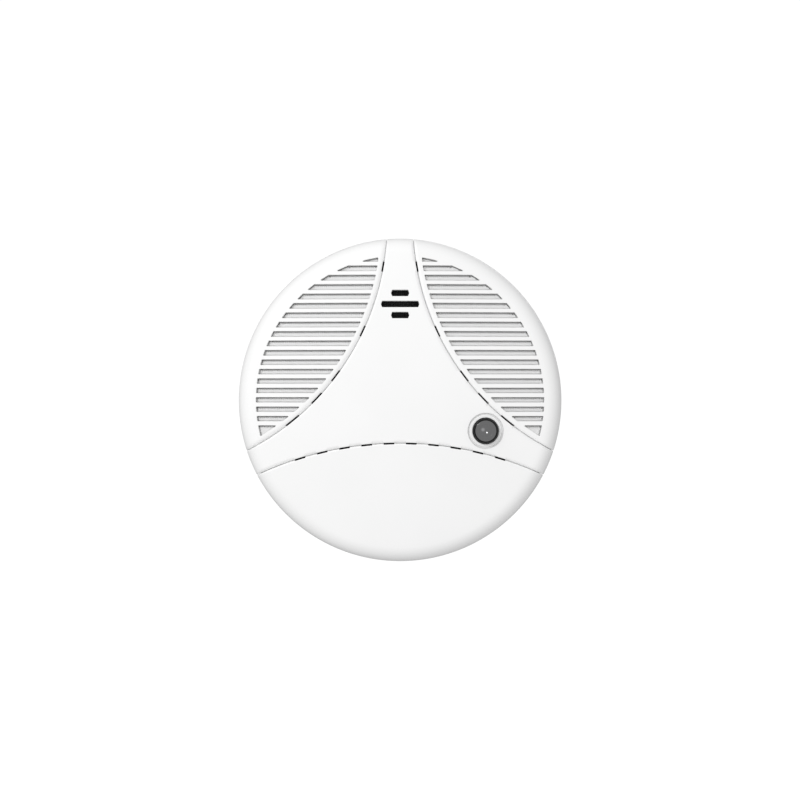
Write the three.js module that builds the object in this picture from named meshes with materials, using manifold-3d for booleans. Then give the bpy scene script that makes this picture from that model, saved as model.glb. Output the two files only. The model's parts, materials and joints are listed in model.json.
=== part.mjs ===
// Round wall and ceiling carbon monoxide detector, in millimetres.
// Everything is laid out in a working frame with the wall plane at z = 0, the face towards +z and
// the upright direction along +y. The exported group turns that frame so that up is +Z and the
// face looks towards -Y. The origin is the centre of the mounting face.
import * as THREE from "three";
import { mergeVertices } from "three/addons/utils/BufferGeometryUtils.js";
import Module from "manifold-3d";

const wasm = await Module();
wasm.setup();

// ---------------------------------------------------------------- driving dimensions
const HEAD_R = 62.5; // largest radius of the head
const FACE_Z = 40; // height of the face at its centre above the wall
const DOME_R = 600; // radius of the gently domed face
const RIM_R = 6.5; // rounding between face and side wall
const COVER_BOTTOM = 14.3; // lower edge of the front cover
const WALL_TAPER = 0.15; // how much the side wall leans in over its height
const SKIN = 2.0; // wall of the front cover and the fascia
const GAP = 0.3; // clearance between neighbouring pieces
const SEG = 36; // facets round the head

// Seams between the three-armed fascia and the lens-shaped fields of the cover.
const SIDE_CX = 102.1, SIDE_CY = 67.5, SIDE_R = 97.1;
const LOW_CY = -145.8, LOW_R = 129.3;
const LEDGE = 1.8; // ledge of the cover under the fascia's edge

// Gas inlet slots on the seams.
const INLET_LEN = 4.0, INLET_HALF_W = 0.38;
const INLET_X = [4.28, 12.8, 21.3, 29.85, 38.35];
const INLET_Y = [51.2, 26.4, 9.2, 0.6, -8.0];

// Louvres.
const LOUVRE_PITCH = 3.595, LOUVRE_OPEN = 2.2, LOUVRE_TOP = 51.6;
const LOUVRE_R = 55.4, LOUVRE_INNER_R = 94.8;
const LOUVRE_SKIN = 1.1, BAFFLE_DEPTH = 1.4, BAFFLE_T = 1.9; // thinned skin over the baffles, and the baffles

// Sounder slots and test button.
const SLOT_Y = 36.7, SLOT_PITCH = 4.24, SLOT_H = 2.33, SLOT_W = [6.8, 14.5, 6.8], SLOT_TIP = 0.45;
const BTN_X = 32.7, BTN_Y = -11.8, BTN_HOLE_R = 5.25, BTN_RECESS_R = 6.9, BTN_RECESS_FLOOR_R = 6.05, BTN_RECESS = 0.75;
const BTN_R = 4.95, BTN_TOP_R = 4.1, BTN_TOP_Z = 41.0, BTN_FLANGE_R = 5.8;

// Rear housing and mounting base.
const BASE_R = 57.5, BASE_H = 5.2, BASE_FLOOR = 2.2;
const HOUSING_Z = 5.5, HOUSING_FLOOR = 7.5;
const HOOKS = [30, 150, 270]; // bayonet hooks, degrees
const TWIST = 15; // bayonet rotation, degrees

// Circuit board and what it carries.
const PCB_Z = 18.0, PCB_T = 1.6, PCB_R = 52;
const PCB_TOP = PCB_Z + PCB_T;
const BATT_Y = -24, BATT_Z = 15.7, BATT_R = 8.5, BATT_L = 34.5;
const SCREW_POS = [[0, 52], [-47.9, -20.1], [47.9, -20.1]];
const STANDOFF_POS = [45, 165, 285].map((a) => polar(45, a));
const HORN_X = 0, HORN_Y = 33.8, HORN_R = 13.5, HORN_TOP = 32.9;
const SENSOR_X = -27, SENSOR_Y = 10, SENSOR_R = 10;
const TAMPER_R = 40, TAMPER_A = 215;

// ---------------------------------------------------------------- helpers
function polar(r, deg) {
  const a = (deg * Math.PI) / 180;
  return [r * Math.cos(a), r * Math.sin(a)];
}

function solid(geometry) {
  const g = geometry.clone();
  for (const k of Object.keys(g.attributes)) if (k !== "position") g.deleteAttribute(k);
  const merged = mergeVertices(g, 1e-4);
  const index = merged.index.array, tri = [];
  for (let i = 0; i < index.length; i += 3) {
    const [a, b, c] = [index[i], index[i + 1], index[i + 2]];
    if (a !== b && b !== c && a !== c) tri.push(a, b, c);
  }
  const build = (t) => new wasm.Manifold(new wasm.Mesh({ numProp: 3, vertProperties: new Float32Array(merged.attributes.position.array), triVerts: new Uint32Array(t) }));
  let made = build(tri);
  if (made.volume() < 0) {
    for (let i = 0; i < tri.length; i += 3) [tri[i + 1], tri[i + 2]] = [tri[i + 2], tri[i + 1]];
    made = build(tri);
  }
  return made;
}

function geometryOf(s) {
  const m = s.getMesh(), n = m.numProp, v = new Float32Array(m.numVert * 3);
  for (let i = 0; i < m.numVert; i++) v.set(m.vertProperties.subarray(i * n, i * n + 3), i * 3);
  const g = new THREE.BufferGeometry();
  g.setAttribute("position", new THREE.BufferAttribute(v, 3));
  g.setIndex(new THREE.BufferAttribute(new Uint32Array(m.triVerts), 1));
  g.computeVertexNormals();
  return g;
}

// Body of revolution about the z axis from [radius, z] points. The profile closes on itself or on the axis.
function lathe(points, segments = SEG, x = 0, y = 0) {
  const g = new THREE.LatheGeometry(points.map(([r, z]) => new THREE.Vector2(r, z)), segments);
  g.rotateX(Math.PI / 2);
  g.translate(x, y, 0);
  return solid(g);
}

function cylinder(r, z0, z1, x = 0, y = 0, segments = 24, r1 = r) {
  return lathe([[0, z0], [r, z0], [r1, z1], [0, z1]], segments, x, y);
}

function ring(r0, r1, z0, z1, segments = SEG, x = 0, y = 0) {
  return lathe([[r0, z0], [r1, z0], [r1, z1], [r0, z1], [r0, z0]], segments, x, y);
}

function box(x0, x1, y0, y1, z0, z1) {
  const g = new THREE.BoxGeometry(x1 - x0, y1 - y0, z1 - z0);
  g.translate((x0 + x1) / 2, (y0 + y1) / 2, (z0 + z1) / 2);
  return solid(g);
}

function prism(points, z0, z1) {
  const shape = new THREE.Shape(points.map(([x, y]) => new THREE.Vector2(x, y)));
  const g = new THREE.ExtrudeGeometry(shape, { depth: z1 - z0, bevelEnabled: false, steps: 1 });
  g.translate(0, 0, z0);
  return solid(g);
}

function sector(r0, r1, a0, a1, z0, z1, step = 3) {
  const n = Math.max(1, Math.round((a1 - a0) / step)), pts = [];
  for (let i = 0; i <= n; i++) pts.push(polar(r1, a0 + ((a1 - a0) * i) / n));
  for (let i = n; i >= 0; i--) pts.push(polar(r0, a0 + ((a1 - a0) * i) / n));
  return prism(pts, z0, z1);
}

// Slot with round ends along x or y.
function stadium(cx, cy, length, width, z0, z1, vertical = false) {
  const r = width / 2, h = length / 2 - r, pts = [];
  for (let i = 0; i <= 4; i++) pts.push([h + r * Math.cos(-Math.PI / 2 + (Math.PI * i) / 4), r * Math.sin(-Math.PI / 2 + (Math.PI * i) / 4)]);
  for (let i = 0; i <= 4; i++) pts.push([-h + r * Math.cos(Math.PI / 2 + (Math.PI * i) / 4), r * Math.sin(Math.PI / 2 + (Math.PI * i) / 4)]);
  return prism(pts.map(([x, y]) => (vertical ? [cx - y, cy + x] : [cx + x, cy + y])), z0, z1);
}

const joined = (...list) => list.reduce((a, b) => a.add(b));

// ---------------------------------------------------------------- head envelope
// Solid inside the head's outer surface, pulled in by an offset, down to zBottom. The inner
// surfaces are a plain cone and chamfer, which leaves the walls a little thicker between,
// unless domed asks for the same curve as the outside.
function envelope(offset, zBottom, domed = offset === 0) {
  const arcSteps = domed ? 4 : 2;
  const pts = [[0, FACE_Z - offset]];
  const wallR = HEAD_R - WALL_TAPER;
  const cR = wallR - RIM_R;
  let rt = cR;
  for (let i = 0; i < 20; i++) rt = cR + RIM_R * Math.sin(rt / DOME_R);
  const slope = rt / DOME_R;
  const cZ = FACE_Z - (rt * rt) / (2 * DOME_R) - RIM_R * Math.cos(slope);
  for (const r of domed ? [28, 45] : []) pts.push([r, FACE_Z - offset - (r * r) / (2 * DOME_R)]);
  const f = RIM_R - offset;
  for (let i = 0; i <= arcSteps; i++) {
    const a = slope + ((Math.PI / 2 - slope) * i) / arcSteps;
    pts.push([cR + f * Math.sin(a), cZ + f * Math.cos(a)]);
  }
  pts.push([HEAD_R - offset, COVER_BOTTOM]);
  if (zBottom < COVER_BOTTOM) pts.push([HEAD_R - offset, zBottom]);
  pts.push([0, zBottom]);
  return lathe(pts);
}
const surfaceZ = (r) => FACE_Z - (r * r) / (2 * DOME_R);

// Cylinders standing on the three seam circles, grown or shrunk by d.
const FIELD_SEG = 60;
const fieldLeft = (d) => cylinder(SIDE_R + d, 0, 60, -SIDE_CX, SIDE_CY, FIELD_SEG);
const fieldRight = (d) => cylinder(SIDE_R + d, 0, 60, SIDE_CX, SIDE_CY, FIELD_SEG);
const fieldLow = (d) => cylinder(LOW_R + d, 0, 60, 0, LOW_CY, FIELD_SEG);
const fields = (d) => joined(fieldLeft(d), fieldRight(d), fieldLow(d));

// ---------------------------------------------------------------- gas inlets
// Each inlet is a short length of seam: a band of the annulus about one seam circle.
function inletCut(halfWidth) {
  const low = fieldLow(halfWidth).subtract(fieldLow(-halfWidth));
  const side = joined(fieldLeft(halfWidth).subtract(fieldLeft(-halfWidth)), fieldRight(halfWidth).subtract(fieldRight(-halfWidth)));
  const xs = INLET_X.flatMap((x) => [x, -x]).map((x) => box(x - INLET_LEN / 2, x + INLET_LEN / 2, -40, -14, 30, 45));
  const ys = INLET_Y.map((y) => box(-60, 60, y - INLET_LEN / 2, y + INLET_LEN / 2, 30, 45));
  return low.intersect(joined(...xs)).add(side.intersect(joined(...ys)));
}

// ---------------------------------------------------------------- louvres
function louvres(side) {
  const outer = (y) => -Math.sqrt(Math.max(0, LOUVRE_R ** 2 - y * y));
  const inner = (y) => -SIDE_CX + Math.sqrt(LOUVRE_INNER_R ** 2 - (y - SIDE_CY) ** 2);
  let tipY = -13.5;
  for (let i = 0; i < 60; i++) tipY += (inner(tipY) - outer(tipY) > 0 ? -0.05 : 0.05);
  const cuts = [];
  for (let k = -1; k <= 17; k++) {
    const top = LOUVRE_TOP - k * LOUVRE_PITCH;
    const bottom = k === 17 ? tipY : top - LOUVRE_OPEN;
    let pts;
    if (k === -1) {
      const xi = inner(bottom);
      pts = [[outer(bottom), bottom], [xi, bottom], [xi, Math.sqrt(LOUVRE_R ** 2 - xi * xi)]];
      const xm = (outer(bottom) + xi) / 2;
      pts.push([xm, Math.sqrt(LOUVRE_R ** 2 - xm * xm)]);
    } else if (k === 17) pts = [[inner(top), top], [outer(top), top], [outer(bottom), bottom]];
    else pts = [[outer(bottom), bottom], [inner(bottom), bottom], [inner(top), top], [outer(top), top]];
    if (side > 0) pts = pts.map(([x, y]) => [-x, y]);
    cuts.push(prism(pts, 30, 45));
  }
  return joined(...cuts);
}

// ---------------------------------------------------------------- front cover and fascia
const D0 = envelope(0, COVER_BOTTOM);
const Dskin = envelope(SKIN, 8);
const rimZone = ring(49.5, 70, 8, 45);
const edgeLedge = fields(LEDGE).subtract(fields(-1.9));
let cover = D0.subtract(Dskin).intersect(fields(-GAP / 2));
const D23 = envelope(SKIN + GAP, COVER_BOTTOM), D38 = envelope(3.8, 8);
cover = cover.add(envelope(1.0, COVER_BOTTOM).subtract(D38).intersect(fields(-GAP / 2).subtract(fields(-1.9))));
const notFields = rimZone.subtract(fields(-1.0));
cover = cover.add(D23.subtract(D38).intersect(edgeLedge.add(notFields)));
for (const [x, y] of SCREW_POS) {
  cover = cover.add(cylinder(3.3, COVER_BOTTOM, 45, x, y, 16).intersect(envelope(3.0, COVER_BOTTOM)));
  cover = cover.subtract(cylinder(1.6, 10, 25, x, y, 12));
}
cover = cover.subtract(envelope(LOUVRE_SKIN, 20, true).intersect(cylinder(56.8, 20, 45, 0, 0, SEG)).intersect(fieldLeft(-1.9).add(fieldRight(-1.9))));
cover = cover.subtract(louvres(-1)).subtract(louvres(1)).subtract(inletCut(INLET_HALF_W));

let fascia = D0.subtract(envelope(SKIN, COVER_BOTTOM - 5)).subtract(fields(GAP / 2));
for (let i = 0; i < 3; i++) {
  const y = SLOT_Y + (1 - i) * SLOT_PITCH, w = SLOT_W[i] / 2, h = SLOT_H / 2;
  fascia = fascia.subtract(prism([[-w, y], [-w + SLOT_TIP, y - h], [w - SLOT_TIP, y - h], [w, y], [w - SLOT_TIP, y + h], [-w + SLOT_TIP, y + h]], 30, 45));
}
const btnSurf = surfaceZ(Math.hypot(BTN_X, BTN_Y));
fascia = fascia.subtract(cylinder(BTN_HOLE_R, 30, 45, BTN_X, BTN_Y, 32));
fascia = fascia.subtract(cylinder(BTN_RECESS_FLOOR_R, btnSurf - BTN_RECESS, btnSurf + 1, BTN_X, BTN_Y, 32, BTN_RECESS_R + 1.0));
fascia = fascia.subtract(inletCut(INLET_HALF_W));

// ---------------------------------------------------------------- baffles and insect screen
const baffleShell = envelope(BAFFLE_DEPTH, 25, true).subtract(envelope(BAFFLE_DEPTH + BAFFLE_T, 20, true)).intersect(cylinder(56.3, 20, 45, 0, 0, SEG));
const baffleLeft = baffleShell.intersect(fieldLeft(-2.2));
const baffleRight = baffleShell.intersect(fieldRight(-2.2));
let screen = envelope(4.1, 25).subtract(envelope(4.6, 20)).intersect(cylinder(55, 30, 45, 0, 0, SEG)).subtract(fields(-2.7));
screen = screen.subtract(cylinder(7.4, 20, 45, BTN_X, BTN_Y, 24));
for (const [x, y] of SCREW_POS) screen = screen.subtract(cylinder(3.7, 20, 45, x, y, 16));

// ---------------------------------------------------------------- rear housing
let housing = lathe([[0, HOUSING_Z], [58.6, HOUSING_Z], [60.9, 7.4], [61.5, 14.0], [58.4, 14.0], [58.4, 16.5], [56.9, 16.5], [56.9, 12.5], [59.2, 12.5], [59.2, HOUSING_FLOOR], [0, HOUSING_FLOOR]]);
const WELL_X = 20.4, WELL_Y = 9.3;
housing = housing.add(box(-WELL_X - 1.5, WELL_X + 1.5, BATT_Y - WELL_Y - 1.5, BATT_Y + WELL_Y + 1.5, 6, 26.2));
housing = housing.subtract(box(-WELL_X, WELL_X, BATT_Y - WELL_Y, BATT_Y + WELL_Y, 4, 24.8));
for (const a of HOOKS) {
  housing = housing.subtract(sector(44.1, 46.9, a - TWIST - 6, a + 6, 4, 9));
  housing = housing.subtract(sector(44.1, 50.2, a - TWIST - 6, a - TWIST + 6, 4, 9));
}
for (const [x, y] of STANDOFF_POS) housing = housing.add(cylinder(2.9, 7, PCB_Z - 0.3, x, y, 16)).subtract(cylinder(1.2, 10, 20, x, y, 10));
for (const [x, y] of SCREW_POS) {
  const tower = cylinder(3.9, 7, 14.0, x, y, 16).intersect(cylinder(58, 0, 20));
  housing = housing.add(tower).subtract(cylinder(1.7, 4, 20, x, y, 12)).subtract(cylinder(3.2, 4, 8.6, x, y, 16));
}
const [tx, ty] = polar(TAMPER_R, TAMPER_A);
housing = housing.subtract(cylinder(1.9, 4, 9, tx, ty, 16));

const door = box(-WELL_X + 0.3, WELL_X - 0.3, BATT_Y - WELL_Y + 0.3, BATT_Y + WELL_Y - 0.3, 5.5, 7.0)
  .subtract(stadium(WELL_X - 5, BATT_Y, 8, 3, 4.5, 6.2, true));

// ---------------------------------------------------------------- mounting base
let base = joined(cylinder(BASE_R, 0, BASE_FLOOR, 0, 0, SEG), ring(BASE_R - 2.2, BASE_R, 0, BASE_H), ring(20, 21.4, 1.5, 4.2, 36));
base = base.subtract(ring(13, 51, -1, 0.7, SEG));
const SCREW_SLOTS = [[33, 0, false], [-33, 0, false], [0, 33, true], [0, -33, true]];
for (const [x, y, v] of SCREW_SLOTS) base = base.add(stadium(x, y, 18, 9, 0, BASE_FLOOR + 0.6, v));
for (const [x, y, v] of SCREW_SLOTS) base = base.subtract(stadium(x, y, 12, 4.6, -1, 5, v));
for (const a of HOOKS) {
  base = base.add(sector(44.5, 46.5, a - 5, a + 5, 1.5, 9.2));
  base = base.add(sector(44.5, 49.7, a - 5, a + 5, 7.9, 9.4));
}
{
  // Cam under the tamper plunger: a land, then a ramp that falls as the head is turned.
  const mid = TAMPER_A + 7, s0 = -((7 * Math.PI) / 180) * TAMPER_R;
  const at = (s) => s0 + s;
  const pts = [[at(-3.5), 1.5], [at(13.2), 1.5], [at(13.2), 2.15], [at(-0.5), 4.08], [at(-3.5), 4.08]];
  const shape = new THREE.Shape(pts.map(([s, z]) => new THREE.Vector2(s, z)));
  const g = new THREE.ExtrudeGeometry(shape, { depth: 7, bevelEnabled: false, steps: 1 });
  g.translate(0, 0, -3.5);
  // Shape x runs along the tangent, shape y along the axis, the extrusion along the radius.
  const a = (mid * Math.PI) / 180;
  const tangent = new THREE.Vector3(-Math.sin(a), Math.cos(a), 0), axis = new THREE.Vector3(0, 0, 1);
  const radial = new THREE.Vector3().crossVectors(tangent, axis);
  const m = new THREE.Matrix4().makeBasis(tangent, axis, radial).setPosition(TAMPER_R * Math.cos(a), TAMPER_R * Math.sin(a), 0);
  g.applyMatrix4(m);
  base = base.add(solid(g));
}

// ---------------------------------------------------------------- test button and its switch
const button = lathe([[0, 24.9], [1.5, 24.9], [1.5, 34.9], [BTN_FLANGE_R, 34.9], [BTN_FLANGE_R, 36.0], [BTN_R, 36.0], [BTN_R, 38.6], [BTN_R - 0.15, 39.1], [BTN_TOP_R + 0.35, 40.6], [BTN_TOP_R, 40.85], [BTN_TOP_R - 0.5, BTN_TOP_Z], [0, BTN_TOP_Z]], 20, BTN_X, BTN_Y);
const tactSwitch = box(BTN_X - 3, BTN_X + 3, BTN_Y - 3, BTN_Y + 3, PCB_TOP + 0.3, PCB_TOP + 3.5).subtract(cylinder(2.0, PCB_TOP + 1.5, 30, BTN_X, BTN_Y, 16));
const tactPlunger = cylinder(1.7, PCB_TOP + 2.9, 24.6, BTN_X, BTN_Y, 12);
const led = lathe([[0, PCB_TOP + 0.3], [1.6, PCB_TOP + 0.3], [1.6, 24.2], [1.2, 25.2], [0, 25.6]], 16, BTN_X + 5.6, BTN_Y + 1.8);

// ---------------------------------------------------------------- circuit board
let pcb = cylinder(PCB_R, PCB_Z, PCB_TOP, 0, 0, SEG).subtract(box(-22.4, 22.4, BATT_Y - WELL_Y - 2.1, BATT_Y + WELL_Y + 2.1, 10, 25));
for (const [x, y] of SCREW_POS) pcb = pcb.subtract(cylinder(4.4, 10, 25, x, y, 16));
for (const [x, y] of STANDOFF_POS) pcb = pcb.subtract(cylinder(1.4, 10, 25, x, y, 12));

// ---------------------------------------------------------------- sounder
const Z0 = PCB_TOP + 0.3;
const horn = lathe([[HORN_R, Z0], [HORN_R, HORN_TOP - 0.8], [HORN_R - 0.8, HORN_TOP], [4.2, HORN_TOP], [3.4, HORN_TOP - 0.6], [3.4, HORN_TOP - 1.6], [HORN_R - 2.4, HORN_TOP - 1.6], [HORN_R - 2.4, 25.6], [HORN_R - 1.2, 25.6], [HORN_R - 1.2, Z0], [HORN_R, Z0]], 24, HORN_X, HORN_Y);
const piezo = lathe([[0, 24.9], [HORN_R - 1.6, 24.9], [HORN_R - 1.6, 25.2], [8.2, 25.2], [8.2, 25.45], [0, 25.45]], 24, HORN_X, HORN_Y);

// ---------------------------------------------------------------- gas sensor
const cell = lathe([[0, Z0], [SENSOR_R, Z0], [SENSOR_R, 29.4], [SENSOR_R - 0.8, 30.2], [2.2, 30.2], [2.2, 29.4], [0, 29.4]], 24, SENSOR_X, SENSOR_Y);
const sensorGasket = ring(6.6, 9.0, 30.5, 33.4, 20, SENSOR_X, SENSOR_Y);
const sensorFilter = cylinder(6.1, 30.5, 31.6, SENSOR_X, SENSOR_Y, 20);

// ---------------------------------------------------------------- battery
function alongX(points, segments, x, y, z) {
  const g = new THREE.LatheGeometry(points.map(([r, t]) => new THREE.Vector2(r, t)), segments);
  g.rotateZ(-Math.PI / 2); // lathe axis to +x
  g.translate(x, y, z);
  return solid(g);
}
const battery = alongX([[0, -BATT_L / 2], [BATT_R - 0.6, -BATT_L / 2], [BATT_R, -BATT_L / 2 + 0.6], [BATT_R, BATT_L / 2 - 1.6], [BATT_R - 0.8, BATT_L / 2 - 0.9], [3.2, BATT_L / 2 - 0.9], [3.2, BATT_L / 2], [0, BATT_L / 2]], 20, 0, BATT_Y, BATT_Z + 0.2);
const contactPlus = joined(box(19.3, 19.9, BATT_Y - 5, BATT_Y + 5, 8, 22), box(17.6, 19.5, BATT_Y - 1.6, BATT_Y + 1.6, 13.6, 16.6));
const contactMinus = (() => {
  // Leaf with a bowed tongue that presses on the cell's flat end.
  const shape = new THREE.Shape([[-20.0, 8], [-19.4, 8], [-19.4, 11], [-17.6, 14.4], [-17.6, 16.0], [-19.0, 19], [-19.5, 18.8], [-18.2, 15.9], [-18.2, 14.6], [-20.0, 11.4]].map(([x, z]) => new THREE.Vector2(x, z)));
  const g = new THREE.ExtrudeGeometry(shape, { depth: 8, bevelEnabled: false, steps: 1 });
  g.rotateX(Math.PI / 2); // shape y becomes z, extrusion runs along -y
  g.translate(0, BATT_Y + 4, 0);
  return solid(g);
})();

// ---------------------------------------------------------------- other parts on the board
const shield = joined(box(-46, -27, -14, -1.5, Z0, PCB_TOP + 2.6));
const mcu = box(2, 10, -4, 4, Z0, PCB_TOP + 1.4);
const capacitor = lathe([[0, Z0], [4.0, Z0], [4.0, Z0 + 1.6], [3.7, Z0 + 1.9], [4.0, Z0 + 2.2], [4.0, 30.4], [3.6, 30.8], [0, 30.8]], 16, 24, 13);
const antenna = (() => {
  // Wire that rises from the board and follows its edge.
  const pts = [];
  const [ax, ay] = polar(46, -6);
  pts.push(new THREE.Vector3(ax, ay, Z0), new THREE.Vector3(ax, ay, Z0 + 4));
  for (let a = -2; a <= 26; a += 4) { const [x, y] = polar(46, a); pts.push(new THREE.Vector3(x, y, Z0 + 6.2)); }
  const path = new THREE.CatmullRomCurve3(pts, false, "centripetal");
  const section = new THREE.Shape();
  for (let i = 0; i < 6; i++) { const a = (i / 6) * 2 * Math.PI; i ? section.lineTo(0.5 * Math.cos(a), 0.5 * Math.sin(a)) : section.moveTo(0.5, 0); }
  return solid(new THREE.ExtrudeGeometry(section, { steps: 12, extrudePath: path, bevelEnabled: false }));
})();

// ---------------------------------------------------------------- tamper switch
const tamperSwitch = box(tx - 3, tx + 3, ty - 3, ty + 3, 14.0, PCB_Z - 0.3);
const tamperPlunger = lathe([[0, 4.4], [1.1, 4.4], [1.5, 4.8], [1.5, 9.5], [2.9, 9.5], [2.9, 10.5], [1.3, 10.5], [1.3, 13.6], [0, 13.6]], 12, tx, ty);
const tamperSpring = (() => {
  const turns = 2.6, r = 2.25, z0 = 10.9, z1 = 13.5, n = 26, pts = [];
  for (let i = 0; i <= n; i++) { const a = (2 * Math.PI * turns * i) / n; pts.push(new THREE.Vector3(tx + r * Math.cos(a), ty + r * Math.sin(a), z0 + ((z1 - z0) * i) / n)); }
  const section = new THREE.Shape();
  for (let i = 0; i < 5; i++) { const a = (i / 5) * 2 * Math.PI; i ? section.lineTo(0.2 * Math.cos(a), 0.2 * Math.sin(a)) : section.moveTo(0.2, 0); }
  return solid(new THREE.ExtrudeGeometry(section, { steps: n, extrudePath: new THREE.CatmullRomCurve3(pts), bevelEnabled: false }));
})();

// ---------------------------------------------------------------- screws
const caseScrew = ([x, y]) => lathe([[0, 21.5], [1.0, 21.5], [1.3, 20.5], [1.3, 8.3], [2.8, 8.3], [2.8, 6.9], [2.2, 6.2], [0, 6.2]], 12, x, y).subtract(joined(box(x - 1.6, x + 1.6, y - 0.35, y + 0.35, 5, 7.2), box(x - 0.35, x + 0.35, y - 1.6, y + 1.6, 5, 7.2)));
const pcbScrew = ([x, y]) => lathe([[0, 12.0], [0.9, 12.0], [0.9, Z0], [2.1, Z0], [2.1, Z0 + 1.0], [1.5, Z0 + 1.5], [0, Z0 + 1.5]], 10, x, y).subtract(joined(box(x - 1.2, x + 1.2, y - 0.25, y + 0.25, Z0 + 0.7, 25), box(x - 0.25, x + 0.25, y - 1.2, y + 1.2, Z0 + 0.7, 25)));

// ---------------------------------------------------------------- scene graph
const mat = (color, roughness, metalness = 0) => new THREE.MeshStandardMaterial({ color, roughness, metalness });
const white = () => mat(0xf4f4f2, 0.42), dark = () => mat(0x18191a, 0.5), steel = () => mat(0xb9bcc0, 0.3, 1);
const detector = new THREE.Group();
detector.name = "carbon_monoxide_detector";
function add(name, s, material, parent = detector) {
  const mesh = new THREE.Mesh(geometryOf(s), material);
  mesh.name = name;
  parent.add(mesh);
  return mesh;
}
add("mounting_base", base, white());
const head = new THREE.Group();
head.name = "head";
detector.add(head);
add("rear_housing", housing, white(), head);
add("battery_door", door, white(), head);
add("front_cover", cover, white(), head);
add("centre_fascia", fascia, white(), head);
add("left_baffle", baffleLeft, mat(0xe2e2e0, 0.6), head);
add("right_baffle", baffleRight, mat(0xe2e2e0, 0.6), head);
add("insect_screen", screen, dark(), head);
add("main_pcb", pcb, mat(0x14522c, 0.45), head);
add("sounder_housing", horn, dark(), head);
add("piezo_disc", piezo, mat(0xc8a050, 0.3, 1), head);
add("co_sensor_cell", cell, steel(), head);
add("sensor_gasket", sensorGasket, mat(0x2a2a2a, 0.9), head);
add("sensor_filter", sensorFilter, mat(0xf5f5f5, 0.9), head);
add("battery", battery, mat(0x2f5aa8, 0.4), head);
add("battery_contact_positive", contactPlus, steel(), head);
add("battery_contact_negative", contactMinus, steel(), head);
add("rf_shield", shield, steel(), head);
add("microcontroller", mcu, dark(), head);
add("capacitor", capacitor, mat(0x20242c, 0.4), head);
add("antenna_wire", antenna, steel(), head);
add("status_led", led, mat(0xd8e8d8, 0.2), head);
add("tact_switch", tactSwitch, dark(), head);
add("tamper_switch", tamperSwitch, dark(), head);
add("tamper_spring", tamperSpring, steel(), head);
SCREW_POS.forEach((p, i) => add("case_screw_" + (i + 1), caseScrew(p), steel(), head));
STANDOFF_POS.forEach((p, i) => add("pcb_screw_" + (i + 1), pcbScrew(p), steel(), head));
const press = new THREE.Group();
press.name = "button_group";
head.add(press);
add("test_button", button, mat(0x3a3b3c, 0.15), press);
add("tact_plunger", tactPlunger, mat(0x111111, 0.5), press);
add("tamper_plunger", tamperPlunger, white(), head);
detector.rotation.x = Math.PI / 2;
export default detector;
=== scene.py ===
import json
import math
import bpy
import numpy as np
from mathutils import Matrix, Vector
from mathutils.geometry import delaunay_2d_cdt

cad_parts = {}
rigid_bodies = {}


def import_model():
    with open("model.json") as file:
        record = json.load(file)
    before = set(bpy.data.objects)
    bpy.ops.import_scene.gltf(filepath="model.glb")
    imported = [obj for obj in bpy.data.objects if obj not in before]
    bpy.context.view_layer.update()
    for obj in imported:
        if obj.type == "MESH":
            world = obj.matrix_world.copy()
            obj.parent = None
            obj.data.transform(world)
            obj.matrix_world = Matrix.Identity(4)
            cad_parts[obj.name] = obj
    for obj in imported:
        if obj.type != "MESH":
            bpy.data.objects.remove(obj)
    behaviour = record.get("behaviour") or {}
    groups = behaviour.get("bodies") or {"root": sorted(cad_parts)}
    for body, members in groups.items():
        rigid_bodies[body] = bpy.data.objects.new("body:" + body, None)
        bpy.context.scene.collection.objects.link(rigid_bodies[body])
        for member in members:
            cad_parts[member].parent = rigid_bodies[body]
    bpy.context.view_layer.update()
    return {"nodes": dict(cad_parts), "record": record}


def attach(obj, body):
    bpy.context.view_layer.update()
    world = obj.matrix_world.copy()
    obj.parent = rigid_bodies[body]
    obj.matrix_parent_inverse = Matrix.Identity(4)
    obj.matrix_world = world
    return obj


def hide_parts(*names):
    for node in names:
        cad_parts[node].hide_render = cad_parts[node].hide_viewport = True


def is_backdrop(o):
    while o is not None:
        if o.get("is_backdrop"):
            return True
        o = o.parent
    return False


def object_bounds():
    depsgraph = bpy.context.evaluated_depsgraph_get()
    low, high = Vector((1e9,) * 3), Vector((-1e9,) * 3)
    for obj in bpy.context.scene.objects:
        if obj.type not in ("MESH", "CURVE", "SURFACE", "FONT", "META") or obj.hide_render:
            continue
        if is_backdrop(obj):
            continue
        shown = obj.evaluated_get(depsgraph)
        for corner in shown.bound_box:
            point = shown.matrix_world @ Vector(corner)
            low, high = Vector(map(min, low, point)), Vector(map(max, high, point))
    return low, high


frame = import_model()
NODES = frame["nodes"]

# ------------------------------------------------------------------ sizes, in millimetres
# Working frame: x to the right, y up, z from the wall towards the front. Row frame is (x, -z, y) / 1000.
HEAD_R, FACE_Z, DOME_R, RIM_R, BOT, TAPER = 62.5, 40.0, 600.0, 6.5, 14.3, 0.15
WALL_R = HEAD_R - TAPER
CR = WALL_R - RIM_R
rt = CR
for _ in range(30):
    rt = CR + RIM_R * math.sin(rt / DOME_R)
SL = rt / DOME_R
CZ = FACE_Z - rt * rt / (2 * DOME_R) - RIM_R * math.cos(SL)
S1 = rt
S2 = S1 + RIM_R * (math.pi / 2 - SL)
S3 = S2 + (CZ - BOT)

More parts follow.
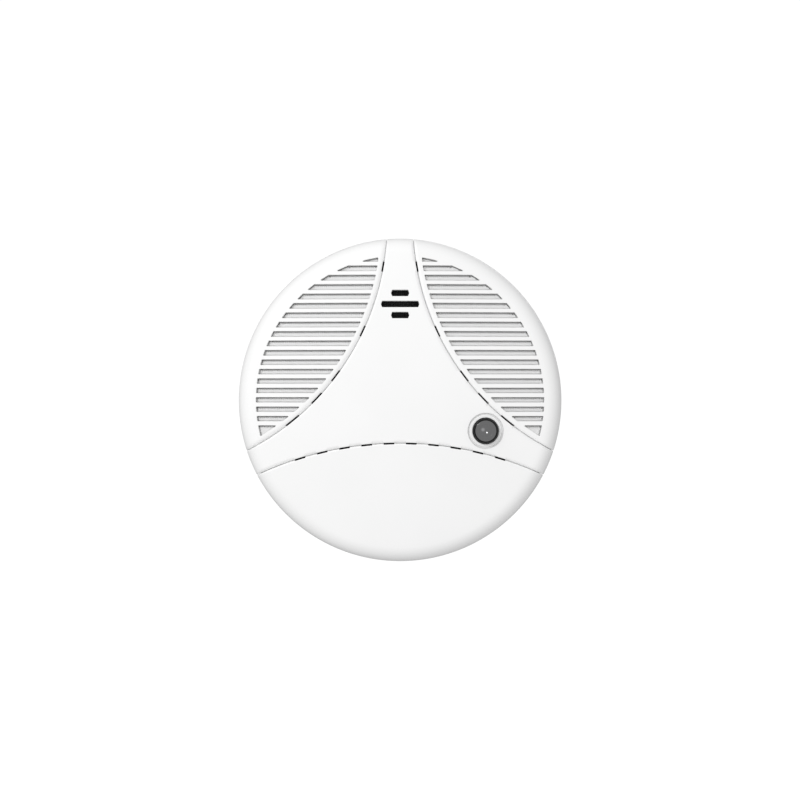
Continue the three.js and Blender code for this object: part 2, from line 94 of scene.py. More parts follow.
SIDE = (102.1, 67.5, 97.1)
LOW = (0.0, -145.8, 129.3)
FIELDS = {"left": (-SIDE[0], SIDE[1], SIDE[2]), "right": SIDE, "low": LOW}
HALF_GAP = 0.09
INLET_LENS = {"left": 0.44, "right": 0.29, "low": 0.34}
INLET_FASCIA = {"left": 0.09, "right": 0.19, "low": 0.17}
INLET_LEN = 4.0
INLET_X = [4.28, 12.8, 21.3, 29.85, 38.35]
INLET_Y = [51.2, 26.4, 9.2, 0.6, -8.0]
LOUVRE_PITCH, LOUVRE_OPEN, LOUVRE_TOP, LOUVRE_R, LOUVRE_INNER_R = 3.595, 2.2, 51.6, 55.3, 94.8
LOUVRE_SKIN, BAFFLE_DEPTH, BAFFLE_T = 1.1, 1.4, 1.9
SLOT_Y, SLOT_PITCH, SLOT_H, SLOT_W, SLOT_TIP = 36.7, 4.24, 2.33, (6.8, 14.5, 6.8), 0.45
BTN_X, BTN_Y, BTN_HOLE_R = 32.7, -11.8, 5.1
TILT = 0.035
ROLL_W, ROLL_H = {"left": 1.8, "right": 1.2, "low": 0.7}, {"left": 1.4, "right": 0.8, "low": 0.75}
EDGE_W, EDGE_H = {"left": 0.75, "right": 1.4, "low": 1.35}, {"left": 0.5, "right": 1.3, "low": 1.3}


def to_row(v):
    v = np.asarray(v, float)
    return np.stack([v[..., 0], -v[..., 2], v[..., 1]], -1) * 0.001


# ------------------------------------------------------------------ the head's outer surface
def prof(s):
    """Radius, height and outward normal of the head's meridian at arc length s."""
    s = np.asarray(s, float)
    a = np.clip((s - S1) / RIM_R + SL, SL, math.pi / 2)
    r = np.where(s <= S1, s, CR + RIM_R * np.sin(a))
    z = np.where(s <= S1, FACE_Z - s * s / (2 * DOME_R), CZ + RIM_R * np.cos(a))
    nr = np.where(s <= S1, s / DOME_R, np.sin(a))
    nz = np.where(s <= S1, 1.0, np.cos(a))
    t = np.clip(s - S2, 0, None)
    r = r + TAPER * t / (CZ - BOT)
    z = z - t
    n = np.hypot(nr, nz)
    return r, z, nr / n, nz / n


def s_of_r(r):
    r = np.asarray(r, float)
    return np.where(r <= S1, r, S1 + RIM_R * (np.arcsin(np.clip((r - CR) / RIM_R, -1, 1)) - SL))


def head_map(tilt=None):
    """Maps unrolled (p, q, depth under the surface) to a point. tilt is the field that leans outwards, or None."""

    def f(pq, depth, drop=0.0):
        s = np.hypot(pq[:, 0], pq[:, 1])
        u = pq / np.maximum(s, 1e-9)[:, None]
        r, z, nr, nz = prof(s)
        z = z - drop
        x, y = r * u[:, 0], r * u[:, 1]
        if tilt is not None:
            cx, cy, rad = FIELDS[tilt]
            d = np.clip(rad - np.hypot(x - cx, y - cy), 0, None)
            z = z - TILT * d * np.clip((z - BOT) / (CZ - BOT), 0, 1)
        out = np.stack([x - depth * nr * u[:, 0], y - depth * nr * u[:, 1], z - depth * nz], -1)
        return out

    return f


def flat_map(z_top, up=1.0):
    return lambda pq, depth, drop=0.0: np.stack([pq[:, 0], pq[:, 1], z_top - up * depth - drop], -1)


# ------------------------------------------------------------------ loops
def signed_area(p):
    x, y = p[:, 0], p[:, 1]
    return 0.5 * np.sum(x * np.roll(y, -1) - np.roll(x, -1) * y)


def offset(p, d, head=True):
    """Moves a closed loop to its left by d, measured on the real surface."""
    s = np.hypot(p[:, 0], p[:, 1])
    es = p / np.maximum(s, 1e-9)[:, None]
    et = np.stack([-es[:, 1], es[:, 0]], -1)
    k = (prof(s)[0] / np.maximum(s, 1e-9)) if head else np.ones(len(p))
    k = np.where(s < 1e-6, 1.0, k)

    def unit(v):
        w = np.stack([np.sum(v * es, -1), np.sum(v * et, -1) * k], -1)
        return w / np.maximum(np.linalg.norm(w, axis=1), 1e-12)[:, None]

    t1, t2 = unit(p - np.roll(p, 1, 0)), unit(np.roll(p, -1, 0) - p)
    n1, n2 = np.stack([-t1[:, 1], t1[:, 0]], -1), np.stack([-t2[:, 1], t2[:, 0]], -1)
    m = (n1 + n2) / np.maximum(1 + np.sum(n1 * n2, -1), 0.4)[:, None]
    m = m * np.broadcast_to(np.asarray(d, float), (len(p),))[:, None]
    return p + es * m[:, :1] + et * (m[:, 1] / k)[:, None]


def rounded(points, radius, steps=4, spacing=1.5):
    """A polygon with rounded corners, its straight sides split to the spacing. Corner radii may differ."""
    pts = np.asarray(points, float)
    n = len(pts)
    radius = np.broadcast_to(np.asarray(radius, float), (n,))
    out = []
    for i in range(n):
        a, b, c = pts[i - 1], pts[i], pts[(i + 1) % n]
        if radius[i] < 0.001:
            out.append([b])
            continue
        u, v = (a - b) / np.linalg.norm(a - b), (c - b) / np.linalg.norm(c - b)
        ang = math.acos(np.clip(np.dot(u, v), -1, 1))
        t = min(radius[i] / math.tan(ang / 2), 0.45 * np.linalg.norm(a - b), 0.45 * np.linalg.norm(c - b))
        rr = t * math.tan(ang / 2)
        bis = (u + v) / np.linalg.norm(u + v)
        ctr = b + bis * (rr / math.sin(ang / 2))
        p0, p1 = b + u * t, b + v * t
        a0, a1 = math.atan2(*(p0 - ctr)[::-1]), math.atan2(*(p1 - ctr)[::-1])
        da = (a1 - a0 + math.pi) % (2 * math.pi) - math.pi
        out.append([ctr + rr * np.array([math.cos(a0 + da * j / steps), math.sin(a0 + da * j / steps)]) for j in range(steps + 1)])
    loop = []
    for i in range(n):
        loop += out[i]
        a, b = out[i][-1], out[(i + 1) % n][0]
        m = int(np.linalg.norm(b - a) / spacing)
        loop += [a + (b - a) * j / (m + 1) for j in range(1, m + 1)]
    return np.array(loop)


def circle(x, y, r, n=96):
    a = np.arange(n) * 2 * math.pi / n
    return np.stack([x + r * np.cos(a), y + r * np.sin(a)], -1)


def stadium(x, y, length, width, n=12, vertical=False, spacing=1.0):
    r, h = width / 2, length / 2 - width / 2
    a = np.linspace(-math.pi / 2, math.pi / 2, n + 1)
    m = max(1, int(2 * h / spacing))
    top = [(h - 2 * h * j / m, r) for j in range(1, m)]
    bottom = [(-h + 2 * h * j / m, -r) for j in range(1, m)]
    pts = [(h + r * math.cos(t), r * math.sin(t)) for t in a] + top
    pts += [(-h + r * math.cos(t + math.pi), r * math.sin(t + math.pi)) for t in a] + bottom
    p = np.array(pts)
    if vertical:
        p = np.stack([-p[:, 1], p[:, 0]], -1)
    return p + np.array([x, y])


# ------------------------------------------------------------------ mesh building
def make_object(name, verts, faces, sharp=34.0, mm=True):
    me = bpy.data.meshes.new(name)
    v = to_row(np.asarray(verts)) if mm else np.asarray(verts)
    me.from_pydata(v.tolist(), [], [tuple(int(i) for i in f) for f in faces])
    me.validate(clean_customdata=False)
    me.shade_smooth()
    me.set_sharp_from_angle(angle=math.radians(sharp))
    me.update()
    ob = bpy.data.objects.new(name, me)
    bpy.context.scene.collection.objects.link(ob)
    return ob


class Builder:
    def __init__(self):
        self.v, self.f, self.n = [], [], 0

    def add(self, pts):
        pts = np.asarray(pts, float)
        self.v.append(pts)
        first = self.n
        self.n += len(pts)
        return first

    def strip(self, a, b, n, flip=False, closed=True):
        """Quads between two rings of n points that start at index a and b."""
        last = n if closed else n - 1
        for i in range(last):
            j = (i + 1) % n
            q = (a + i, a + j, b + j, b + i)
            self.f.append(q[::-1] if flip else q)

    def merged(self):
        return np.concatenate(self.v) if self.v else np.zeros((0, 3))

    def join(self, other):
        first = self.add(other.merged())
        self.f += [tuple(i + first for i in f) for f in other.f]
        return self

    def object(self, name, sharp=34.0):
        return make_object(name, self.merged(), self.f, sharp)


def inside(points, loops):
    """Even-odd test of points against closed loops."""
    a = np.concatenate(loops)
    b = np.concatenate([np.roll(lp, -1, 0) for lp in loops])
    out = np.zeros(len(points), bool)
    for i in range(0, len(points), 1500):
        x, y = points[i : i + 1500, :1], points[i : i + 1500, 1:]
        cross = (a[:, 1] > y) != (b[:, 1] > y)
        with np.errstate(divide="ignore", invalid="ignore"):
            xs = a[:, 0] + (y - a[:, 1]) * (b[:, 0] - a[:, 0]) / (b[:, 1] - a[:, 1])
        out[i : i + 1500] = (np.sum(cross & (xs > x), axis=1) % 2) == 1
    return out


def cdt(loops, interior):
    """Triangulates the area inside the loops, even-odd. Returns points, triangles and the index of each input point."""
    coords, edges, n = [], [], 0
    for lp in loops:
        coords += [Vector((float(x), float(y))) for x, y in lp]
        m = len(lp)
        edges += [(n + i, n + (i + 1) % m) for i in range(m)]
        n += m
    coords += [Vector((float(x), float(y))) for x, y in interior]
    v, _, f, ov, _, _ = delaunay_2d_cdt(coords, edges, [], 0, 1e-7, True)
    index = [(min(o) if o else -1) for o in ov]
    vv = np.array([[p.x, p.y] for p in v])
    t = np.array([list(x) for x in f], int)
    p0, p1, p2 = vv[t[:, 0]], vv[t[:, 1]], vv[t[:, 2]]
    area = (p1[:, 0] - p0[:, 0]) * (p2[:, 1] - p0[:, 1]) - (p1[:, 1] - p0[:, 1]) * (p2[:, 0] - p0[:, 0])
    t[area < 0] = t[area < 0][:, ::-1]
    t = t[inside((p0 + p1 + p2) / 3, loops)]
    return vv, t.tolist(), index


def clear_of(points, loops, distance):
    """Keeps the points further than distance from every loop point."""
    if not len(points):
        return points
    edge = np.concatenate(loops)
    keep = np.ones(len(points), bool)
    for i in range(0, len(points), 2000):
        d = np.linalg.norm(points[i : i + 2000, None] - edge[None], axis=2).min(1)
        keep[i : i + 2000] = d > distance if np.isscalar(distance) else d > distance[i : i + 2000]
    return points[keep]


def plate(fmap, outer, holes, interior, thickness, base=0.0, seg=4, head=True, extra=None, under=None, bottom_fillet=0.0):
    """A closed plate. outer and holes are (loop, width of the rolled edge per point, notch per point, depth of the roll along
    the normal, depth of the roll towards the wall). Its top follows fmap at depth base, its edges roll over, and its walls go
    down to base + thickness, which may be a function of the place."""
    b = Builder()
    thick = thickness if callable(thickness) else (lambda q: np.full(len(q), float(thickness)))
    loops = []
    for i, (p, rad, *rest) in enumerate([*outer, *holes]):
        rad = np.broadcast_to(np.asarray(rad, float), (len(p),)).copy()
        notch = rest[0].copy() if rest else np.zeros(len(p))
        hn, hz = (rest[1].copy(), rest[2].copy()) if len(rest) > 2 else (rad.copy(), np.zeros(len(p)))
        want = 1 if i < len(outer) else -1
        if signed_area(p) * want < 0:
            p, rad, notch, hn, hz = (t[::-1].copy() for t in (p, rad, notch, hn, hz))
        loops.append((p, rad, notch, hn, hz))
    ex = extra if extra is not None else (lambda q: np.zeros(len(q)))
    tops, lows, rings0, ringsw = [], [], [], []
    for p, rad, notch, hn, hz in loops:
        n = len(p)
        prev = None
        for k in range(seg + 1):
            a = math.pi / 2 * k / seg
            q = offset(p, np.maximum(notch, rad * (1 - math.cos(a))), head)
            first = b.add(fmap(q, base + hn * (1 - math.sin(a)) + ex(q), hz * (1 - math.sin(a))))
            if k == 0:
                rings0.append(first)
            if prev is not None:
                b.strip(prev, first, n)
            prev = first
        q = offset(p, rad + 0.03, head)
        first = b.add(fmap(q, base + ex(q)))
        b.strip(prev, first, n)
        tops.append((q, first))
        if bottom_fillet > 0:
            prev = rings0[-1]
            for k in range(0, 4):
                a = math.pi / 2 * k / 3
                q2 = offset(p, bottom_fillet * (1 - math.cos(a)), head)
                low = b.add(fmap(q2, base + thick(q2) - bottom_fillet * (1 - math.sin(a))))
                b.strip(low, prev, n)
                prev = low
            lows.append((q2, low))
        else:
            q2 = offset(p, notch, head)
            low = b.add(fmap(q2, base + thick(q2)))
            b.strip(low, rings0[-1], n)
            lows.append((q2, low))
    for which, group, flip in (("top", tops, False), ("low", lows, True)):
        pts = interior if which == "top" or under is None else under
        pts = clear_of(np.asarray(pts, float).reshape(-1, 2), [q for q, _ in group], 0.45)
        vv, tris, index = cdt([q for q, _ in group], pts)
        starts, total = [], 0
        for q, first in group:
            starts.append((total, total + len(q), first))
            total += len(q)
        new, where = [], {}
        for i, o in enumerate(index):
            if 0 <= o < total:
                for lo, hi, first in starts:
                    if lo <= o < hi:
                        where[i] = first + (o - lo)
            else:
                where[i] = ("new", len(new))
                new.append(vv[i])
        if new:
            new = np.array(new)
            depth = base + ex(new) if which == "top" else base + thick(new)
            first = b.add(fmap(new, depth))
        used = set()
        for t in tris:
            g = [where[i] if not isinstance(where[i], tuple) else first + where[i][1] for i in t]
            b.f.append(tuple(g[::-1]) if flip else tuple(g))
    return b


def drop_unused(b):
    used = sorted({i for f in b.f for i in f})
    m = {i: k for k, i in enumerate(used)}
    out = Builder()
    out.add(b.merged()[used])
    out.f = [tuple(m[i] for i in f) for f in b.f]
    return out


def polar_points(spacing=2.0, rim=0.55, around=1.3, wall=2.2, s_max=None):
    s_max = s_max or S3
    rings = []
    s = spacing * 0.5
    while s < S1 - spacing * 0.6:
        rings.append((s, spacing))
        s += spacing
    s = S1
    while s < S2 + 0.01:
        rings.append((s, around))
        s += rim
    s = S2 + wall
    while s < s_max - 0.8:
        rings.append((s, around))
        s += wall
    out = []
    for i, (s, sp) in enumerate(rings):
        r = float(prof(s)[0])
        n = max(6, int(round(2 * math.pi * r / sp)))
        a = (np.arange(n) + 0.5 * (i % 2)) * 2 * math.pi / n
        out.append(np.stack([s * np.cos(a), s * np.sin(a)], -1))
    return np.concatenate(out)


# ------------------------------------------------------------------ seams
def seam(field, side):
    """One seam as unrolled points from the wall's lower edge over the face and back. side is -1 for the field's edge and
    +1 for the fascia's. Returns the points, and which of them lie at a gas inlet."""
    cx, cy, rad = FIELDS[field]
    c = math.hypot(cx, cy)
    arg = math.atan2(cy, cx)
    rad = rad + side * HALF_GAP

    def delta(r):
        return np.arccos(np.clip((c * c + rad * rad - r * r) / (2 * rad * c), -1, 1))

    def at(dl):
        ph = arg + math.pi + dl
        return cx + rad * np.cos(ph), cy + rad * np.sin(ph)

    wall_s = np.linspace(S3, S2, 10)[:-1]
    fil_s = np.linspace(S2, S1, 26)[:-1]
    out = []
    d1 = float(delta(S1))
    # Points along the face, with extra ones at both ends of every inlet.
    base = list(np.linspace(-d1, d1, int(2 * d1 * rad / 0.8)))
    centres = []
    if field == "low":
        for x in INLET_X:
            for sx in (-1, 1):
                centres.append(math.asin(sx * x / rad))
        sgn = -1
    else:
        for y in INLET_Y:
            ph = math.asin((y - cy) / rad)
            ph = ph if field == "left" else math.pi - ph
            dl = (ph - arg - math.pi + math.pi) % (2 * math.pi) - math.pi
            centres.append(dl)
    if field == "low":
        # The seam's point above x has angle pi/2 - asin(x / rad) about the field's centre.
        centres = [(math.pi / 2 - t - arg - math.pi + math.pi) % (2 * math.pi) - math.pi for t in centres]
    # Inlets on the sides keep their height of INLET_LEN in y, so they are longer along a slanted seam.
    halves = []
    for dl in centres:
        ph = arg + math.pi + dl
        if field == "low":
            along = INLET_LEN / 2 / max(abs(math.sin(ph)), 0.3)
        else:
            along = INLET_LEN / 2 / max(abs(math.cos(ph)), 0.3)
        halves.append(along / rad)
    edge = 0.06 / rad
    pts = [t for t in base if all(abs(t - c0) > h + 3 * edge for c0, h in zip(centres, halves))]
    for c0, h in zip(centres, halves):
        pts += [c0 - h - edge, c0 + h + edge]
        pts += list(np.linspace(c0 - h + edge, c0 + h - edge, 5))
    pts = np.array(sorted(pts))
    inlet = np.zeros(len(pts), bool)
    for c0, h in zip(centres, halves):
        inlet |= np.abs(pts - c0) < h
    x, y = at(pts)
    face = np.stack([x, y], -1)
    ends = []
    for sgn in (-1, 1):
        th_w = math.atan2(*[float(t) for t in at(sgn * delta(WALL_R))][::-1])
        w = np.stack([wall_s * math.cos(th_w), wall_s * math.sin(th_w)], -1)
        r = prof(fil_s)[0]
        fx, fy = at(sgn * delta(r))
        th = np.arctan2(fy, fx)
        f = np.stack([fil_s * np.cos(th), fil_s * np.sin(th)], -1)
        ends.append(np.concatenate([w, f]))
    p = np.concatenate([ends[0], face, ends[1][::-1]])
    flag = np.concatenate([np.zeros(len(ends[0]), bool), inlet, np.zeros(len(ends[1]), bool)])
    return p, flag


def wall_arc(a, b):
    """Points along the wall's lower edge between two loop ends, the short way or the way round that the caller orders."""
    t0, t1 = math.atan2(a[1], a[0]), math.atan2(b[1], b[0])
    d = (t1 - t0 + math.pi) % (2 * math.pi) - math.pi
    n = max(2, int(abs(d) * HEAD_R / 1.3))
    t = t0 + d * np.arange(1, n) / n
    return np.stack([S3 * np.cos(t), S3 * np.sin(t)], -1)


def field_loop(field):
    p, flag = seam(field, -1)
    cx, cy, _ = FIELDS[field]
    arc = wall_arc(p[-1], p[0])
    # The arc must go round the field's side of the wall.
    mid = arc[len(arc) // 2]
    if np.dot(mid, [cx, cy]) < 0:
        t0, t1 = math.atan2(p[-1][1], p[-1][0]), math.atan2(p[0][1], p[0][0])
        d = (t1 - t0) % (2 * math.pi)
        d = d if abs(d) > math.pi else d - 2 * math.pi
        n = int(abs(d) * HEAD_R / 1.3)
        t = t0 + d * np.arange(1, n) / n
        arc = np.stack([S3 * np.cos(t), S3 * np.sin(t)], -1)
    # The roll is broad on the face and the rim, where it falls towards the wall, and narrow down the side.
    t = np.clip((np.hypot(p[:, 0], p[:, 1]) - (S2 - 0.5)) / 4.0, 0, 1)
    t = t * t * (3 - 2 * t)
    zero = np.zeros(len(arc))
    w, h = ROLL_W[field], ROLL_H[field]
    rad = np.concatenate([w + (0.35 - w) * t, zero + 0.35])
    hn = np.concatenate([0.05 + 0.3 * t, zero + 0.35])
    hz = np.concatenate([h * (1 - t), zero])
    notch = np.concatenate([flag * INLET_LENS[field], zero])
    return np.concatenate([p, arc]), rad, notch, hn, hz


def fascia_loop():
    loop, rad, notch, hn, hz = [], [], [], [], []
    order = ["right", "low", "left"]
    parts = []
    for f in order:
        p, flag = seam(f, 1)
        parts.append(np.concatenate([p, (flag * INLET_FASCIA[f])[:, None]], 1))
    # Walk clockwise: top arm's right edge, lower right arm, lower left arm, top arm's left edge.
    r, lo, le = parts
    if r[0][1] < r[-1][1]:
        r = r[::-1]
    if lo[0][0] < lo[-1][0]:
        lo = lo[::-1]
    if le[0][1] > le[-1][1]:
        le = le[::-1]
    for f, p, nxt in (("right", r, lo), ("low", lo, le), ("left", le, r)):
        t = np.clip((np.hypot(p[:, 0], p[:, 1]) - (S1 + 3.5)) / 5.5, 0, 1)
        t = t * t * (3 - 2 * t)
        arc = wall_arc(p[-1], nxt[0])
        flat = np.full(len(arc), 0.3)
        slim = np.where(p[:, 2] > 0, 0.62, 1.0)
        loop += [p[:, :2], arc]
        rad += [(EDGE_W[f] + (0.3 - EDGE_W[f]) * t) * slim, flat]
        notch += [p[:, 2], flat * 0]
        hn += [0.05 + 0.25 * t, flat]
        hz += [EDGE_H[f] * (1 - t) * slim**2, flat * 0]
    return tuple(np.concatenate(t) for t in (loop, rad, notch, hn, hz))


# ------------------------------------------------------------------ louvres
def louvre_top(k):
    """Upper edge of louvre k. The lowest ones are a little narrower."""
    u = np.clip((k - 5) / 10.0, 0, 1)
    return LOUVRE_TOP - k * LOUVRE_PITCH - 0.2 * u * u * (3 - 2 * u)


def louvre_loops(side):
    def outer(y):
        return -math.sqrt(max(0.0, LOUVRE_R**2 - y * y))

    def inner(y):
        return -SIDE[0] + math.sqrt(LOUVRE_INNER_R**2 - (y - SIDE[1]) ** 2)

    tip = -13.5
    for _ in range(60):
        tip += -0.05 if inner(tip) - outer(tip) > 0 else 0.05
    loops = []
    for k in range(-1, 18):
        top = float(louvre_top(k))
        bottom = tip if k == 17 else LOUVRE_TOP - k * LOUVRE_PITCH - LOUVRE_OPEN
        if k == -1:
            xi = inner(bottom)
            xm = (outer(bottom) + xi) / 2
            pts = [(outer(bottom), bottom), (xi, bottom), (xi, math.sqrt(LOUVRE_R**2 - xi * xi)), (xm, math.sqrt(LOUVRE_R**2 - xm * xm))]
        elif k == 17:
            pts = [(inner(top), top), (outer(top), top), (outer(bottom), bottom)]
        else:
            pts = [(outer(bottom), bottom), (inner(bottom), bottom), (inner(top), top), (outer(top), top)]
        pts = np.array(pts)
        if side > 0:
            pts[:, 0] *= -1
        if signed_area(pts) < 0:
            pts = pts[::-1]
        loops.append((rounded(pts, 0.22, 3, 1.6), 0.16))
    return loops


def ring_points(x, y, radii, n=72):
    return np.concatenate([circle(x, y, r, n) + 0.0 for r in radii])


# ------------------------------------------------------------------ front cover
GRID = polar_points()
UNDER = polar_points(2.2, 1.2, 2.2, 6.0)


def cover_thickness(name):
    """The skin is thinned from behind under the louvres, where the baffle lies."""
    if name == "low":
        return 2.0
    cx, cy, rad = FIELDS[name]

    def f(q):
        s = np.hypot(q[:, 0], q[:, 1])
        r = prof(s)[0]
        k = r / np.maximum(s, 1e-9)
        edge = rad - np.hypot(q[:, 0] * k - cx, q[:, 1] * k - cy)
        inn = np.clip(np.minimum(edge - 1.6, 56.9 - s) / 0.3, 0, 1)
        return 2.0 - (2.0 - LOUVRE_SKIN) * inn

    return f


cover = Builder()
for name in FIELDS:
    holes = louvre_loops(-1 if name == "left" else 1) if name != "low" else []
    part = plate(head_map(name), [field_loop(name)], holes, GRID, cover_thickness(name), seg=9, under=UNDER)
    cover.join(drop_unused(part))
# Ledge that closes the seam between the inlets, a little below the surface.
def ledge_strip(field, depth_top, depth_low, inner, outer_):
    cx, cy, rad = FIELDS[field]
    p, flag = seam(field, -1)
    t = np.gradient(p, axis=0)
    t /= np.linalg.norm(t, axis=1)[:, None]
    n = np.stack([-t[:, 1], t[:, 0]], -1)
    if np.dot(n[len(p) // 2], [cx, cy]) > 0:
        n = -n
    b = Builder()
    runs, start = [], None
    for i in range(len(p)):
        if not flag[i] and start is None:
            start = i
        if start is not None and (flag[i] or i == len(p) - 1):
            runs.append((start, i if not flag[i] else i - 1))
            start = None
    fm = head_map()
    for a, z in runs:
        if z - a < 1:
            continue
        seg_p, seg_n = p[a : z + 1], n[a : z + 1]
        rows = []
        for off, dep in ((inner, depth_top), (outer_, depth_top), (outer_, depth_low), (inner, depth_low)):
            q = seg_p + seg_n * off
            rows.append(b.add(fm(q, np.full(len(q), dep))))
        m = len(seg_p)
        for k in range(4):
            b.strip(rows[k], rows[(k + 1) % 4], m, closed=False)
        b.f.append((rows[3], rows[2], rows[1], rows[0]))
        e = m - 1
        b.f.append((rows[0] + e, rows[1] + e, rows[2] + e, rows[3] + e))
    return b


def face_out(b):
    """Turns a closed builder's faces outwards, by its signed volume."""
    v = b.merged()
    vol = 0.0
    for f in b.f:
        for i in range(1, len(f) - 1):
            vol += np.dot(v[f[0]], np.cross(v[f[i]], v[f[i + 1]]))
    if vol < 0:
        b.f = [f[::-1] for f in b.f]
    return b


for name in FIELDS:
    cover.join(face_out(ledge_strip(name, 1.62, 1.95, -0.5, 2 * HALF_GAP - 0.03)))
cover_ob = cover.object("front_cover_shell")

# ------------------------------------------------------------------ fascia
def dish(q):
    rho = np.hypot(q[:, 0] - BTN_X, q[:, 1] - BTN_Y)
    t = np.clip((6.95 - rho) / 0.42, 0, 1)
    u = np.clip((rho - 5.9) / 0.42, 0, 1)
    t, u = t * t * (3 - 2 * t), u * u * (3 - 2 * u)
    return 0.12 * t + 0.5 * t * u


slots = []
for i in range(3):
    y, w, h = SLOT_Y + (1 - i) * SLOT_PITCH + 0.03, SLOT_W[i] / 2 + 0.1, SLOT_H / 2 + 0.07
    pts = [(-w, y), (-w + SLOT_TIP, y - h), (w - SLOT_TIP, y - h), (w, y), (w - SLOT_TIP, y + h), (-w + SLOT_TIP, y + h)]
    slots.append((rounded(pts, 0.18, 3, 1.2), 0.1))
btn_hole = (circle(BTN_X, BTN_Y, BTN_HOLE_R, 120), 0.08)
pts = GRID[np.hypot(GRID[:, 0] - BTN_X, GRID[:, 1] - BTN_Y) > 8.2]
pts = np.concatenate([pts, ring_points(BTN_X, BTN_Y, [5.6, 5.75, 5.82, 5.9, 5.98, 6.05, 6.25, 6.45, 6.65, 6.72, 6.79, 6.86, 6.92, 7.1, 7.4, 7.8], 144)])
fascia = plate(head_map(), [fascia_loop()], slots + [btn_hole], pts, 2.0, seg=7, extra=dish, under=UNDER)
fascia_ob = drop_unused(fascia).object("centre_fascia_panel")

# ------------------------------------------------------------------ baffles behind the louvres
def baffle_loop(side):
    cx, cy, rad = FIELDS["left" if side < 0 else "right"]
    rad -= 2.2
    lim = 56.25
    c = math.hypot(cx, cy)
    arg = math.atan2(cy, cx)
    dl = math.acos((c * c + rad * rad - lim * lim) / (2 * rad * c))
    t = np.linspace(-dl, dl, 90)
    a = np.stack([cx + rad * np.cos(arg + math.pi + t), cy + rad * np.sin(arg + math.pi + t)], -1)
    t0, t1 = math.atan2(a[-1][1], a[-1][0]), math.atan2(a[0][1], a[0][0])
    d = (t1 - t0) % (2 * math.pi)
    if abs(d) > math.pi:
        d -= 2 * math.pi
    u = t0 + d * np.arange(1, 90) / 90
    return np.concatenate([a, np.stack([lim * np.cos(u), lim * np.sin(u)], -1)])


def unroll(p):
    r = np.hypot(p[:, 0], p[:, 1])
    return p / r[:, None] * s_of_r(r)[:, None]


def smooth(t):
    t = np.clip(t, 0, 1)
    return t * t * (3 - 2 * t)


def channels(q):
    """Depth of the baffle's channels: one under the upper edge of every louvre, and one round their outer ends."""
    s = np.hypot(q[:, 0], q[:, 1])
    y = q[:, 1] * prof(s)[0] / np.maximum(s, 1e-9)
    k = np.round((LOUVRE_TOP - y) / LOUVRE_PITCH)
    t = LOUVRE_TOP - k * LOUVRE_PITCH - y
    top = louvre_top(k) - y
    across = CHANNEL_D * smooth((CHANNEL_W - top) / 0.25) * smooth((top + 0.8) / 0.3) * (k <= 17)
    t = t + LOUVRE_PITCH * (t < 0)
    low = CHANNEL_LOW * smooth((t - LOUVRE_OPEN + 0.38) / 0.2) * smooth((LOUVRE_OPEN + 0.45 - t) / 0.2)
    low = low * (y > LOUVRE_TOP - 16.9 * LOUVRE_PITCH)
    r = prof(s)[0]
    around = (0.45 + 0.65 * smooth((y - 22) / 20)) * smooth((r - (LOUVRE_R - CHANNEL_END)) / 0.25) * smooth((LOUVRE_R + 0.35 - r) / 0.2)
    return np.maximum(np.maximum(across, around), low)


CHANNEL_W, CHANNEL_END, CHANNEL_D, CHANNEL_LOW = 0.36, 0.36, 1.3, 0.32
ys = []
for k in range(-2, 19):
    t, b = float(louvre_top(k)), LOUVRE_TOP - k * LOUVRE_PITCH - LOUVRE_OPEN
    ys += [t + 0.8, t + 0.65, t + 0.5, t, t - CHANNEL_W + 0.25, t - CHANNEL_W + 0.12, t - CHANNEL_W, t - 1.0]
    ys += [b + 0.38, b + 0.28, b + 0.18, b - 0.05, b - 0.25, b - 0.45]
xs = np.arange(-57, 57.1, 0.75)
flat = np.array([(x + 0.2 * (i % 2), y) for i, y in enumerate(ys) for x in xs])
flat = flat[(np.hypot(flat[:, 0], flat[:, 1]) < LOUVRE_R - CHANNEL_END - 0.2)]
arcs = [circle(0, 0, LOUVRE_R - CHANNEL_END + d, 420) for d in (-0.02, 0.12, 0.25)] + [circle(0, 0, LOUVRE_R + d, 420) for d in (0.15, 0.35)]
BAFFLE_GRID = np.concatenate([flat] + arcs)
BAFFLE_GRID = BAFFLE_GRID / np.hypot(BAFFLE_GRID[:, 0], BAFFLE_GRID[:, 1])[:, None] * s_of_r(np.hypot(BAFFLE_GRID[:, 0], BAFFLE_GRID[:, 1]))[:, None]
baffles = {}
for side, name in ((-1, "left"), (1, "right")):
    lp = unroll(baffle_loop(side))
    grid = BAFFLE_GRID[inside(BAFFLE_GRID, [lp])]
    bp = plate(head_map(name), [(lp, 0.15)], [], grid, BAFFLE_T, base=BAFFLE_DEPTH, seg=3, extra=channels, under=GRID)
    baffles[name] = drop_unused(bp).object(name + "_baffle_floor")

